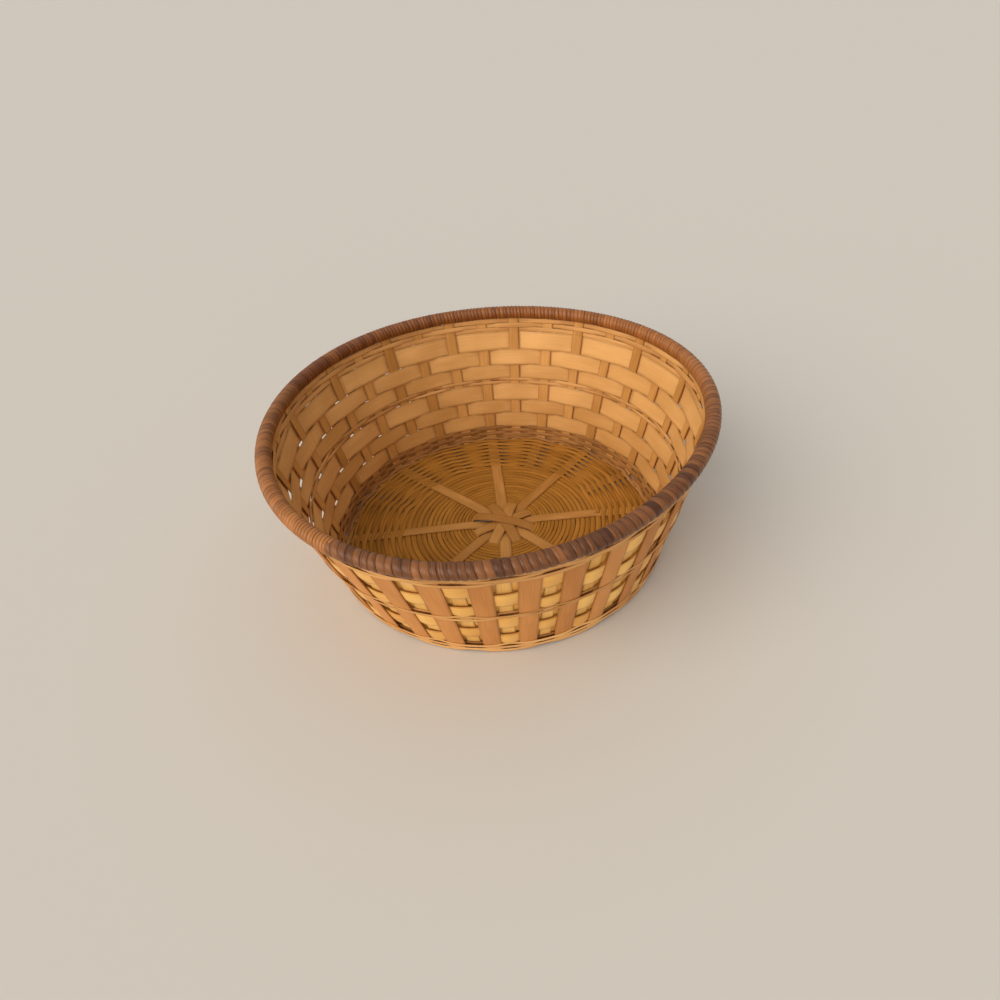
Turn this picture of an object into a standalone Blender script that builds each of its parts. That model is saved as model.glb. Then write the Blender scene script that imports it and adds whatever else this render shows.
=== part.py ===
"""Berry basket: a round open basket woven from split bamboo, with a rim bound in cane.

All lengths are in metres, +Z is up, and the origin is on the ground below the centre of the base.
Eight flat strips cross at the centre of the base and turn up into half of the wall's stakes. Every
other piece is woven round them or clamped to them: nothing is glued, and neighbours keep a clearance.
"""

from math import asin, cos, pi, radians, sin, tan

import bmesh
import bpy
from mathutils import Vector

# Overall form
RIM_RADIUS = 0.1195
BASE_RADIUS = 0.095
RIM_OVAL = 0.0030
OVAL_TURN = radians(60.0)
RIM_SADDLE = 0.0023
SADDLE_TURN = radians(-21.0)
STAKE_COUNT = 32
SPACING_WOBBLE = radians(1.5)
WOBBLE_TURN = radians(8.0)
CLEARANCE = 0.0003
MERGE_DISTANCE = 0.00001
SMOOTH_ANGLE = radians(50.0)

# Narrow stakes and the base strips that turn up into them
STAKE_THICKNESS = 0.0005
STAKE_WIDTH_BOTTOM = 0.0066
STAKE_WIDTH_TOP = 0.0066
CORNER_BEND = 0.0016
SIDE_STAKE_TAIL = 0.0038

# Hub, where the eight strips lie on each other
HUB_FLAT_RADIUS = 0.008
HUB_SPLAY_RADIUS = 0.0175
HUB_EDGE_RADIUS = 0.021
HUB_SPLAY_SHARE = 0.34
HUB_LEVELS = (0, 4, 1, 5, 2, 6, 3, 7)
HUB_OFFSET = 0.0034
HUB_OFFSET_TURN = radians(20.0)

# Thin strand that fills the middle of the base
WEAVE_WIDTH = 0.0020
WEAVE_GAP = 0.0005
LANE_CHANGE = 0.0020
STRAND_SEAT = 0.0003
STRAND_CROWN = 0.0006

# Twined pair of strands that winds round the outer base
PAIR_ROUNDS = 7
PAIR_WIDTH = 0.0018
PAIR_THICKNESS = 0.0008

# Twined pair that the basket stands on
FOOT_WIDTH = 0.0020
FOOT_THICKNESS = 0.0012
FOOT_TURN_SHARES = (1 / 3, 2 / 3)

# Thin strands of the wall
STRAND_WIDTH = 0.0016
BOTTOM_STRANDS = 3
BOTTOM_PITCH = 0.0020
BOTTOM_START = 0.0022
MIDDLE_STRANDS = 2
TOP_STRANDS = 3
TOP_PITCH = 0.0029

# Wide wefts, from the bottom row to the top row
WEFT_WIDTH = 0.01025
WEFT_WIDTH_SHARES = (0.95, 0.88, 1.12, 0.90, 1.00, 1.15)
WEFT_THICKNESS = 0.0006
WEFT_CREST_SHARE = 1.9

# Wide outer strips
STRIP_THICKNESS = 0.0006
STRIP_WIDTH_BOTTOM = 0.0088
STRIP_WIDTH_TOP = 0.0112
STRIP_START = 0.0003

# Rim hoops and their binding
HOOP_THICKNESS = 0.0017
HOOP_HEIGHT = 0.0060
HOOP_EDGE_HEIGHT = 0.0022
HOOP_STEPS_PER_STAKE = 2
BINDING_WALL = 0.0010
BINDING_LIP = 0.0036
BINDING_CROWN = 0.0010
BINDING_LIP_SHARE = 0.97
BINDING_SHOULDER_OUT_SHARE = 0.70
BINDING_SHOULDER_UP_SHARE = 0.80
BINDING_VALLEY_SHARE = 0.94
BINDING_RIBS = 80
BINDING_CUT_OVERRUN = 0.0030
BINDING_TURNS = {"front": (233.0, 374.0), "back": (14.0, 162.0), "left": (162.0, 233.0)}
STAKE_TOP_SHARE = 0.90

# Heights of the base, built up from the ground
BASE_HEIGHT = FOOT_THICKNESS + CLEARANCE + STAKE_THICKNESS / 2
LONG_LANE = BASE_HEIGHT + STRAND_CROWN + CLEARANCE + STAKE_THICKNESS / 2
SHORT_LANE = BASE_HEIGHT - STRAND_SEAT - CLEARANCE - STAKE_THICKNESS / 2
HUB_STEP = STAKE_THICKNESS + CLEARANCE
HUB_LOWEST = CLEARANCE + STAKE_THICKNESS / 2
HUB_MIDDLE = HUB_LOWEST + HUB_STEP * max(HUB_LEVELS) / 2

# Distances out from the middle of the narrow stakes, measured square to the wall
WEFT_PASS = STAKE_THICKNESS / 2 + CLEARANCE + WEFT_THICKNESS / 2
WEFT_CREST = WEFT_PASS * WEFT_CREST_SHARE
STRIP_OUT = STAKE_THICKNESS / 2 + CLEARANCE + WEFT_THICKNESS + CLEARANCE + STRIP_THICKNESS / 2
STRAND_IN = -STAKE_THICKNESS / 2 - CLEARANCE - STRAND_CROWN
STRAND_OUT = STRIP_OUT + STRIP_THICKNESS / 2 + CLEARANCE + STRAND_SEAT
INNER_HOOP_FACE = -STAKE_THICKNESS / 2 - CLEARANCE
OUTER_HOOP_FACE = STRIP_OUT
RIM_MIDDLE_OUT = (INNER_HOOP_FACE + OUTER_HOOP_FACE) / 2

# Heights up the slope of the wall, built up from the corner
BOTTOM_BAND = BOTTOM_START + BOTTOM_STRANDS * BOTTOM_PITCH
MIDDLE_PITCH = STRAND_WIDTH + CLEARANCE
MIDDLE_BAND = MIDDLE_STRANDS * MIDDLE_PITCH
TOP_BAND = TOP_STRANDS * TOP_PITCH
ROWS_HEIGHT = sum(share * WEFT_WIDTH + CLEARANCE for share in WEFT_WIDTH_SHARES)
ROWS_BELOW_MIDDLE = len(WEFT_WIDTH_SHARES) // 2
WALL_LENGTH = BOTTOM_BAND + ROWS_HEIGHT + MIDDLE_BAND + TOP_BAND + CLEARANCE + BINDING_LIP
WALL_TILT = asin((RIM_RADIUS - BASE_RADIUS) / WALL_LENGTH)
CORNER_TANGENT = CORNER_BEND * tan((pi / 2 - WALL_TILT) / 2)
STAKE_TOP = WALL_LENGTH + HOOP_HEIGHT / 2 * STAKE_TOP_SHARE

# Radii of the woven rounds of the base, built up from the hub and in from the corner
WEAVE_START = HUB_EDGE_RADIUS + CLEARANCE + WEAVE_WIDTH / 2
WEAVE_PITCH = WEAVE_WIDTH + WEAVE_GAP
SPOKE_COUNT = STAKE_COUNT // 2
FOOT_REACH = (FOOT_THICKNESS + CLEARANCE) / 2
FOOT_RADIUS = BASE_RADIUS - CORNER_TANGENT - FOOT_WIDTH / 2 - CLEARANCE
PAIR_REACH = (PAIR_WIDTH + CLEARANCE) / 2
PAIR_PITCH = 4 * PAIR_REACH
PAIR_END = FOOT_RADIUS - FOOT_REACH - FOOT_THICKNESS / 2 - CLEARANCE - PAIR_REACH - PAIR_WIDTH / 2
PAIR_START = PAIR_END - PAIR_ROUNDS * PAIR_PITCH
WEAVE_END = PAIR_START - PAIR_WIDTH / 2 - CLEARANCE - LANE_CHANGE - WEAVE_WIDTH / 2
WEAVE_ROUNDS = 1 + int((WEAVE_END - WEAVE_START) / WEAVE_PITCH)

# Colour, roughness and name of each finish
FINISHES = {
    "base_strip": ((0.42, 0.22, 0.06), 0.62),
    "side_stake": ((0.48, 0.26, 0.08), 0.62),
    "weft": ((0.62, 0.36, 0.12), 0.50),
    "outer_strip": ((0.58, 0.30, 0.10), 0.65),
    "thin_strand": ((0.50, 0.27, 0.08), 0.60),
    "base_strand": ((0.38, 0.20, 0.05), 0.62),
    "hoop": ((0.45, 0.27, 0.12), 0.70),
    "binding_front": ((0.12, 0.05, 0.03), 0.40),
    "binding_back": ((0.22, 0.09, 0.04), 0.38),
    "binding_left": ((0.28, 0.13, 0.05), 0.42),
}


def clear_scene():
    """Remove every object, so the basket starts in an empty scene."""
    for item in list(bpy.data.objects):
        bpy.data.objects.remove(item, do_unlink=True)


def make_collection(name):
    """Collection of this name, linked to the scene."""
    collection = bpy.data.collections.new(name)
    bpy.context.scene.collection.children.link(collection)
    return collection


def finish(name):
    """Material of one finish: plant fibre, so never metallic."""
    material = bpy.data.materials.new(name)
    material.use_nodes = True
    shader = material.node_tree.nodes["Principled BSDF"]
    colour, roughness = FINISHES[name]
    shader.inputs["Base Color"].default_value = (*colour, 1.0)
    shader.inputs["Roughness"].default_value = roughness
    shader.inputs["Metallic"].default_value = 0.0
    material.diffuse_color = (*colour, 1.0)
    return material


def stake_turn(number):
    """Angle of a stake round the basket: evenly spaced, but for a slight wobble of the hand."""
    even = number * 2 * pi / STAKE_COUNT
    return even + SPACING_WOBBLE * sin(2 * (even + WOBBLE_TURN))


def base_point(turn, radius, height):
    """Point of the base at an angle, a radius and a height.

    The hub lies a little off the middle, and the rounds of the base take this up on their way out.
    """
    offset = HUB_OFFSET * max(1 - radius / PAIR_END, 0.0)
    x = radius * cos(turn) + offset * cos(HUB_OFFSET_TURN)
    y = radius * sin(turn) + offset * sin(HUB_OFFSET_TURN)
    return Vector((x, y, height))


def wall_point(turn, rise, out):
    """Point of the wall at an angle, a height up its slope and a distance out from the stakes.

    The rim is slightly oval and saddle-shaped, and the wall takes this up evenly over its height.
    """
    share = rise / WALL_LENGTH
    radius = BASE_RADIUS + rise * sin(WALL_TILT) + out * cos(WALL_TILT)
    height = BASE_HEIGHT + rise * cos(WALL_TILT) - out * sin(WALL_TILT)
    radius += share * RIM_OVAL * cos(2 * (turn - OVAL_TURN))
    height += share * RIM_SADDLE * cos(2 * (turn - SADDLE_TURN))
    return Vector((radius * cos(turn), radius * sin(turn), height))


def between(low, high, rise):
    """Width of a tapered strip at a height up the wall."""
    return low + (high - low) * min(max(rise / WALL_LENGTH, 0.0), 1.0)


def stake_width(rise):
    """Width of a narrow stake at a height up the wall."""
    return between(STAKE_WIDTH_BOTTOM, STAKE_WIDTH_TOP, rise)


def strip_width(rise):
    """Width of a wide outer strip at a height up the wall."""
    return between(STRIP_WIDTH_BOTTOM, STRIP_WIDTH_TOP, rise)


def half_angle(width, rise):
    """Angle that half of a width takes up on the wall."""
    return width / 2 / (BASE_RADIUS + rise * sin(WALL_TILT))


def lay_grid(shape, rows, closed=False, rolled=False):
    """Lay a flat grid along a path: each row of points is one line across it.

    closed joins its two ends into a ring, and rolled joins its two long edges into a tube.
    """
    steps = len(rows) if closed else len(rows) - 1
    sides = len(rows[0]) if rolled else len(rows[0]) - 1
    made = bmesh.ops.create_grid(shape, x_segments=steps, y_segments=sides, size=0.5)
    for corner in made["verts"]:
        step = round((corner.co.x + 0.5) * steps)
        side = round((corner.co.y + 0.5) * sides)
        corner.co = rows[step % len(rows)][side % len(rows[0])]
    bmesh.ops.remove_doubles(shape, verts=made["verts"], dist=MERGE_DISTANCE)


def add_piece(name, shape, material, collection, thickness=None, round_piece=False):
    """Make the object of one piece. A flat strip gets its thickness from Solidify, evenly on both sides."""
    if thickness is None:
        bmesh.ops.holes_fill(shape, edges=shape.edges)
        bmesh.ops.recalc_face_normals(shape, faces=shape.faces)
    mesh = bpy.data.meshes.new(name)
    shape.to_mesh(mesh)
    shape.free()
    mesh.materials.append(material)
    if round_piece:
        mesh.shade_smooth()
        mesh.set_sharp_from_angle(angle=SMOOTH_ANGLE)
    piece = bpy.data.objects.new(name, mesh)
    collection.objects.link(piece)
    if thickness is not None:
        solid = piece.modifiers.new("Thickness", "SOLIDIFY")
        solid.thickness = thickness
        solid.offset = 0.0
        solid.use_even_offset = True
    return piece


def base_row(turn, radius, height):
    """Two edge points of a narrow stake that runs out along the base."""
    side = Vector((-sin(turn), cos(turn), 0.0)) * (STAKE_WIDTH_BOTTOM / 2)
    middle = base_point(turn, radius, height)
    return (middle - side, middle + side)


def wall_row(turn, rise, out, width):
    """Two edge points of a flat strip that runs up the wall."""
    half_width = half_angle(width, rise)
    return (wall_point(turn - half_width, rise, out), wall_point(turn + half_width, rise, out))


def corner_rows(turn):
    """Edge points of a stake where it bends from the base up into the wall."""
    bend = pi / 2 - WALL_TILT
    centre_radius = BASE_RADIUS - CORNER_TANGENT
    rows = []
    for angle in (0.0, bend / 2, bend):
        radius = centre_radius + CORNER_BEND * sin(angle)
        height = BASE_HEIGHT + CORNER_BEND * (1 - cos(angle))
        rows.append(base_row(turn, radius, height))
    return rows


def weave_radius(spoke):
    """Radius of the inner strand at a spoke, counted on from round to round."""
    return WEAVE_START + WEAVE_PITCH * spoke / SPOKE_COUNT


def pair_radius(spoke):
    """Radius of the twined pair at a spoke, counted on from round to round."""
    return PAIR_START + PAIR_PITCH * spoke / SPOKE_COUNT


def spoke_rows(spoke, level, lane):
    """Edge points of half a base strip, from the hub to the rim.

    It leaves its lane between the last round of the inner strand and the first round of the pair.
    """
    turn = stake_turn(2 * spoke)
    stack_height = HUB_LOWEST + HUB_STEP * level
    splay_height = HUB_MIDDLE + (stack_height - HUB_MIDDLE) * HUB_SPLAY_SHARE
    weave_edge = weave_radius((WEAVE_ROUNDS - 1) * SPOKE_COUNT + spoke) + WEAVE_WIDTH / 2
    pair_edge = pair_radius(spoke) - PAIR_WIDTH / 2 - CLEARANCE
    stations = (
        (HUB_FLAT_RADIUS, stack_height),
        (HUB_SPLAY_RADIUS, splay_height),
        (HUB_EDGE_RADIUS, lane),
        (weave_edge, lane),
        (pair_edge, BASE_HEIGHT),
    )
    rows = [base_row(turn, *station) for station in stations]
    return rows + corner_rows(turn) + [wall_row(turn, STAKE_TOP, 0.0, STAKE_WIDTH_TOP)]


def make_base_strip(number, material, collection):
    """One strip from the rim down the wall, across the base through the hub and up the other side."""
    lane = LONG_LANE if number % 2 == 0 else SHORT_LANE
    near = spoke_rows(number, HUB_LEVELS[number], lane)
    far = [row[::-1] for row in spoke_rows(number + SPOKE_COUNT // 2, HUB_LEVELS[number], lane)]
    shape = bmesh.new()
    lay_grid(shape, near[::-1] + far)
    add_piece(f"base_strip_{number + 1}", shape, material, collection, STAKE_THICKNESS)


def make_side_stake(number, material, collection):
    """One stake put in beside the base strips: a short tail in the foot pair, the bend and the wall."""
    turn = stake_turn(2 * number + 1)
    tail = base_row(turn, BASE_RADIUS - SIDE_STAKE_TAIL, BASE_HEIGHT)
    head = wall_row(turn, STAKE_TOP, 0.0, STAKE_WIDTH_TOP)
    shape = bmesh.new()
    lay_grid(shape, [tail] + corner_rows(turn) + [head])
    add_piece(f"side_stake_{number + 1:02d}", shape, material, collection, STAKE_THICKNESS)


def lying_row(turn, radius, width, seat, crown):
    """Section of a strand that lies on the base: a flat seat below and a crown above."""
    return (
        base_point(turn, radius - width / 2, seat),
        base_point(turn, radius + width / 2, seat),
        base_point(turn, radius, crown),
    )


def make_base_weave(material, collection):
    """The single strand of the middle of the base: a spiral with a corner at each of the spokes."""
    seat = BASE_HEIGHT - STRAND_SEAT
    crown = BASE_HEIGHT + STRAND_CROWN
    rows = []
    for spoke in range(WEAVE_ROUNDS * SPOKE_COUNT):
        rows.append(lying_row(stake_turn(2 * spoke), weave_radius(spoke), WEAVE_WIDTH, seat, crown))
    shape = bmesh.new()
    lay_grid(shape, rows, rolled=True)
    add_piece("base_weave_strand", shape, material, collection, round_piece=True)


def pair_row(turn, radius, height):
    """Section of a strand of the twined pair, with its middle at a radius and a height."""
    return lying_row(turn, radius, PAIR_WIDTH, height - PAIR_THICKNESS / 2, height + PAIR_THICKNESS / 2)


def make_twined_strand(number, material, collection):
    """One strand of the twined pair: over one spoke, beside its partner, and under the next spoke.

    It lies flat all the way. It passes its partner on the outside and then on the inside, so the
    two wind round each other and outwards. Over a spoke it stands off by the slope of its way down.
    """
    pass_reach = STAKE_THICKNESS / 2 + CLEARANCE + PAIR_THICKNESS / 2
    rows = []
    for spoke in range(PAIR_ROUNDS * SPOKE_COUNT):
        side = 1 if (spoke + number) % 2 == 0 else -1
        radius = pair_radius(spoke)
        edge_share = STAKE_WIDTH_BOTTOM * SPOKE_COUNT / (2 * pi * radius)
        rise = side * pass_reach / (1 - edge_share)
        rows.append(pair_row(stake_turn(2 * spoke), radius, BASE_HEIGHT + rise))
        radius = (radius + pair_radius(spoke + 1)) / 2 + side * PAIR_REACH
        rows.append(pair_row(stake_turn(2 * spoke + 1), radius, BASE_HEIGHT))
    shape = bmesh.new()
    lay_grid(shape, rows, rolled=True)
    add_piece(f"base_twined_strand_{number + 1}", shape, material, collection, round_piece=True)


def twisted_row(turn, radius, twist, reach, width, thickness):
    """Section of a foot strand, flat outside with a ridge inside. It turns round the pair's middle.

    A twist of nothing puts the strand above the middle, and a quarter turn puts it outside.
    """
    flat = reach + thickness / 2
    ridge = reach - thickness / 2
    corners = []
    for along, away in ((-width / 2, flat), (width / 2, flat), (0.0, ridge)):
        corner_radius = radius + away * sin(twist) + along * cos(twist)
        corner_height = BASE_HEIGHT + away * cos(twist) - along * sin(twist)
        corners.append(base_point(turn, corner_radius, corner_height))
    return corners


def lay_twisted(shape, rows, closed=False):
    """Lay the tube of a twisted strand. Its faces are split along their shorter diagonals.

    A longer diagonal would cut across the strand where it turns, and the strand would cross itself.
    """
    lay_grid(shape, rows, closed=closed, rolled=True)
    bmesh.ops.triangulate(shape, faces=shape.faces, quad_method="SHORT_EDGE")


def make_foot_strand(number, material, collection):
    """One strand of the pair at the corner. It is flat on the ground below every second stake."""
    pass_reach = STAKE_THICKNESS / 2 + CLEARANCE + FOOT_THICKNESS / 2
    half_pass = STAKE_WIDTH_BOTTOM / 2 / FOOT_RADIUS
    rows = []
    for stake in range(STAKE_COUNT):
        before, after = stake_turn(stake) - half_pass, stake_turn(stake) + half_pass
        way = stake_turn(stake + 1) - half_pass - after
        twist = (stake + number) * pi
        for turn in (before, after):
            rows.append(twisted_row(turn, FOOT_RADIUS, twist, pass_reach, FOOT_WIDTH, FOOT_THICKNESS))
        for share in FOOT_TURN_SHARES:
            turn = after + share * way
            rows.append(
                twisted_row(turn, FOOT_RADIUS, twist + share * pi, FOOT_REACH, FOOT_WIDTH, FOOT_THICKNESS)
            )
    shape = bmesh.new()
    lay_twisted(shape, rows, closed=True)
    add_piece(f"foot_strand_{number + 1}", shape, material, collection)


def strand_row(turn, rise, out):
    """Three corners of a thin strand's section on the wall: a flat seat inside and a crown outside."""
    return [
        wall_point(turn, rise - STRAND_WIDTH / 2, out - STRAND_SEAT),
        wall_point(turn, rise + STRAND_WIDTH / 2, out - STRAND_SEAT),
        wall_point(turn, rise, out + STRAND_CROWN),
    ]


def make_wall_strand(name, rise, first_inside, material, collection):
    """One thin strand round the wall: inside every second narrow stake and outside all the rest.

    It runs outside the wide strips, and stands off by the sag of its straight run from a strip to a stake.
    """
    radius = BASE_RADIUS + rise * sin(WALL_TILT)
    spacing = 2 * pi * radius / STAKE_COUNT
    stand_off = STRAND_OUT + spacing ** 2 / (8 * radius)
    half_stake = half_angle(stake_width(rise), rise)
    half_strip = half_angle(strip_width(rise) + 2 * CLEARANCE, rise)
    rows = []
    for stake in range(first_inside, first_inside + STAKE_COUNT, 2):
        rows.append(strand_row(stake_turn(stake) - half_stake, rise, STRAND_IN))
        rows.append(strand_row(stake_turn(stake) + half_stake, rise, STRAND_IN))
        rows.append(strand_row(stake_turn(stake + 0.5) - half_strip, rise, stand_off))
        rows.append(strand_row(stake_turn(stake + 1), rise, stand_off))
        rows.append(strand_row(stake_turn(stake + 1.5) + half_strip, rise, stand_off))
    shape = bmesh.new()
    lay_grid(shape, rows, closed=True, rolled=True)
    add_piece(name, shape, material, collection, round_piece=True)


def make_wall_strands(material, collection):
    """The thin strands of the bottom, middle and top of the wall, each the opposite of its neighbour."""
    for number in range(BOTTOM_STRANDS):
        rise = BOTTOM_START + BOTTOM_PITCH / 2 + number * BOTTOM_PITCH
        make_wall_strand(f"bottom_strand_{number + 1}", rise, number % 2, material, collection)
    middle_start = weft_start(ROWS_BELOW_MIDDLE) - MIDDLE_BAND
    for number in range(MIDDLE_STRANDS):
        rise = middle_start + MIDDLE_PITCH / 2 + number * MIDDLE_PITCH
        make_wall_strand(f"middle_strand_{number + 1}", rise, number % 2, material, collection)
    top_start = weft_start(len(WEFT_WIDTH_SHARES))
    for number in range(TOP_STRANDS):
        rise = top_start + TOP_PITCH / 2 + number * TOP_PITCH
        make_wall_strand(f"top_strand_{number + 1}", rise, number % 2, material, collection)


def weft_start(row):
    """Height up the wall of the lower edge of a weft row, or of the band above the last one."""
    below = sum(share * WEFT_WIDTH + CLEARANCE for share in WEFT_WIDTH_SHARES[:row])
    middle = MIDDLE_BAND if row >= ROWS_BELOW_MIDDLE else 0.0
    return BOTTOM_BAND + below + middle


def make_weft(row, material, collection):
    """One wide weft: flat inside every second stake, and bowed out over the stakes between them."""
    low = weft_start(row)
    high = low + WEFT_WIDTH_SHARES[row] * WEFT_WIDTH
    middle = (low + high) / 2
    half_pass = half_angle(stake_width(middle) + 2 * CLEARANCE, middle)
    first_inside = (row + 1) % 2
    rows = []
    for stake in range(first_inside, first_inside + STAKE_COUNT, 2):
        turn = stake_turn(stake)
        for place, out in ((turn - half_pass, -WEFT_PASS), (turn + half_pass, -WEFT_PASS)):
            rows.append((wall_point(place, low, out), wall_point(place, high, out)))
        crest_turn = stake_turn(stake + 1)
        rows.append((wall_point(crest_turn, low, WEFT_CREST), wall_point(crest_turn, high, WEFT_CREST)))
    shape = bmesh.new()
    lay_grid(shape, rows, closed=True)
    number = len(WEFT_WIDTH_SHARES) - row
    add_piece(f"weft_row_{number}", shape, material, collection, WEFT_THICKNESS)


def make_strips(material, collection):
    """The wide outer strips, each midway between two narrow stakes, before they join their hoop."""
    shape = bmesh.new()
    for place in range(STAKE_COUNT):
        turn = stake_turn(place + 0.5)
        foot = wall_row(turn, STRIP_START, STRIP_OUT, STRIP_WIDTH_BOTTOM)
        head = wall_row(turn, STAKE_TOP, STRIP_OUT, STRIP_WIDTH_TOP)
        lay_grid(shape, [foot, head])
    strips = add_piece("outer_strips", shape, material, collection, STRIP_THICKNESS)
    strips.hide_render = True
    strips.display_type = "WIRE"
    return strips


def make_hoop(name, face_out, thickness, material, collection):
    """One hoop of the rim: tall and flat where it clamps the stakes, lower on its other face."""
    steps = STAKE_COUNT * HOOP_STEPS_PER_STAKE
    rows = []
    for step in range(steps):
        turn = stake_turn(step / HOOP_STEPS_PER_STAKE)
        rows.append(
            [
                wall_point(turn, WALL_LENGTH - HOOP_HEIGHT / 2, face_out),
                wall_point(turn, WALL_LENGTH + HOOP_HEIGHT / 2, face_out),
                wall_point(turn, WALL_LENGTH + HOOP_EDGE_HEIGHT / 2, face_out + thickness),
                wall_point(turn, WALL_LENGTH - HOOP_EDGE_HEIGHT / 2, face_out + thickness),
            ]
        )
    shape = bmesh.new()
    lay_grid(shape, rows, closed=True, rolled=True)
    return add_piece(name, shape, material, collection, round_piece=True)


def make_outer_hoop(strips, material, collection):
    """The outer hoop with the wide strips, which it carries by their heads."""
    hoop = make_hoop("outer_hoop_with_strips", OUTER_HOOP_FACE, HOOP_THICKNESS, material, collection)
    joint = hoop.modifiers.new("Strips", "BOOLEAN")
    joint.operation = "UNION"
    joint.object = strips


def channel_outline():
    """Outline of the room inside the binding: out from the rim's middle, and up from it."""
    half = (OUTER_HOOP_FACE - INNER_HOOP_FACE) / 2 + HOOP_THICKNESS + CLEARANCE
    shoulder = half - HOOP_THICKNESS
    bottom = -BINDING_LIP - BINDING_CUT_OVERRUN
    return (
        (-half, bottom),
        (-half, HOOP_EDGE_HEIGHT / 2 + CLEARANCE),
        (-shoulder, HOOP_HEIGHT / 2 + CLEARANCE),
        (shoulder, HOOP_HEIGHT / 2 + CLEARANCE),
        (half, HOOP_EDGE_HEIGHT / 2 + CLEARANCE),
        (half, bottom),
    )


def binding_outline():
    """Outline of the bound rim: a lip on each side, upright flanks and a round top."""
    half = (OUTER_HOOP_FACE - INNER_HOOP_FACE) / 2 + HOOP_THICKNESS + CLEARANCE + BINDING_WALL
    top = HOOP_HEIGHT / 2 + CLEARANCE + BINDING_CROWN
    right_side = (
        (half * BINDING_LIP_SHARE, -BINDING_LIP),
        (half, HOOP_EDGE_HEIGHT / 4),
        (half * BINDING_SHOULDER_OUT_SHARE, top * BINDING_SHOULDER_UP_SHARE),
    )
    left_side = tuple((-out, up) for out, up in reversed(right_side))
    return right_side + ((0.0, top),) + left_side


def binding_row(turn, swell):
    """Section of the binding at an angle. swell is 1 on the back of a turn of cane, less in the valley."""
    return [
        wall_point(turn, WALL_LENGTH + up * (swell if up > 0 else 1.0), RIM_MIDDLE_OUT + out * swell)
        for out, up in binding_outline()
    ]


def make_channel_cutter(material, collection):
    """Ring that cuts the room for the hoops and stakes out of all three bindings."""
    steps = STAKE_COUNT * HOOP_STEPS_PER_STAKE
    rows = []
    for step in range(steps):
        turn = stake_turn(step / HOOP_STEPS_PER_STAKE)
        rows.append(
            [wall_point(turn, WALL_LENGTH + up, RIM_MIDDLE_OUT + out) for out, up in channel_outline()]
        )
    shape = bmesh.new()
    lay_grid(shape, rows, closed=True, rolled=True)
    cutter = add_piece("channel_cutter", shape, material, collection)
    cutter.hide_render = True
    cutter.display_type = "WIRE"
    return cutter


def make_binding(name, cutter, material, collection):
    """One length of binding cane: a sleeve over the rim with a rib for each turn, open along its bottom."""
    start, end = (radians(angle) for angle in BINDING_TURNS[name])
    end_gap = CLEARANCE / 2 / RIM_RADIUS
    ribs = round(BINDING_RIBS * (end - start) / (2 * pi))
    rows = []
    for step in range(2 * ribs + 1):
        turn = start + end_gap + (end - start - 2 * end_gap) * step / (2 * ribs)
        rows.append(binding_row(turn, BINDING_VALLEY_SHARE if step % 2 == 0 else 1.0))
    shape = bmesh.new()
    lay_grid(shape, rows, rolled=True)
    piece = add_piece(f"rim_binding_{name}", shape, material, collection, round_piece=True)
    cut = piece.modifiers.new("Channel", "BOOLEAN")
    cut.operation = "DIFFERENCE"
    cut.object = cutter


def main():
    """Build the basket from the base to the rim."""
    clear_scene()
    basket = make_collection("berry_basket")
    cutters = make_collection("cutters")
    finishes = {name: finish(name) for name in FINISHES}

    for number in range(STAKE_COUNT // 4):
        make_base_strip(number, finishes["base_strip"], basket)
    for number in range(STAKE_COUNT // 2):
        make_side_stake(number, finishes["side_stake"], basket)

    make_base_weave(finishes["base_strand"], basket)
    for number in range(2):
        make_twined_strand(number, finishes["base_strand"], basket)
    for number in range(2):
        make_foot_strand(number, finishes["thin_strand"], basket)

    for row in range(len(WEFT_WIDTH_SHARES)):
        make_weft(row, finishes["weft"], basket)
    make_wall_strands(finishes["thin_strand"], basket)

    make_hoop("inner_hoop", INNER_HOOP_FACE, -HOOP_THICKNESS, finishes["hoop"], basket)
    strips = make_strips(finishes["outer_strip"], cutters)
    make_outer_hoop(strips, finishes["outer_strip"], basket)
    cutter = make_channel_cutter(finishes["hoop"], cutters)
    for name in BINDING_TURNS:
        make_binding(name, cutter, finishes[f"binding_{name}"], basket)


main()
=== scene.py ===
"""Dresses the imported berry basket: split bamboo woven on narrow stakes, with a rim bound in cane.

Every strip and strand of the CAD model is laid again here along the same path, with the rounded
edges, fibres and uneven tones of split bamboo, and the rim is wound with turns of narrow cane.
All lengths are in metres, and the basket stands at the origin as the CAD model does.
"""

import logging
import random
from dataclasses import dataclass, field
from enum import Enum
from math import asin, cos, pi, radians, sin, tan

import bpy
import numpy as np
from mathutils import Matrix, Vector

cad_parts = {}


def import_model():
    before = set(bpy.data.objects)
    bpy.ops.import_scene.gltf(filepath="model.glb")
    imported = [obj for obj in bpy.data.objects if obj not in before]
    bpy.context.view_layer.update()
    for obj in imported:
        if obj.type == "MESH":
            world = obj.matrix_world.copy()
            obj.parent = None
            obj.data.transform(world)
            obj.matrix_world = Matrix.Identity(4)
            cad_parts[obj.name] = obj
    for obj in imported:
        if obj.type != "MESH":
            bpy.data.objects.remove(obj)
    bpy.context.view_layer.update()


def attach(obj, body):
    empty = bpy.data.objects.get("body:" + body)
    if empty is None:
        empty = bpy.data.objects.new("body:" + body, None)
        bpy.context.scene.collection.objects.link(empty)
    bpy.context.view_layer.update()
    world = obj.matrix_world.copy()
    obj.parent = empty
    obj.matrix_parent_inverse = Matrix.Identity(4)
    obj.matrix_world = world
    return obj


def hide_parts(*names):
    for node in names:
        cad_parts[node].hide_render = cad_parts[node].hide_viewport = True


LOG = logging.getLogger("berry_basket")
MM = 0.001
MERGE_DISTANCE = 0.000001
STAKE_ACROSS = np.linspace(-1.0, 1.0, 5)
WEFT_ACROSS = np.linspace(-1.0, 1.0, 7)


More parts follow.
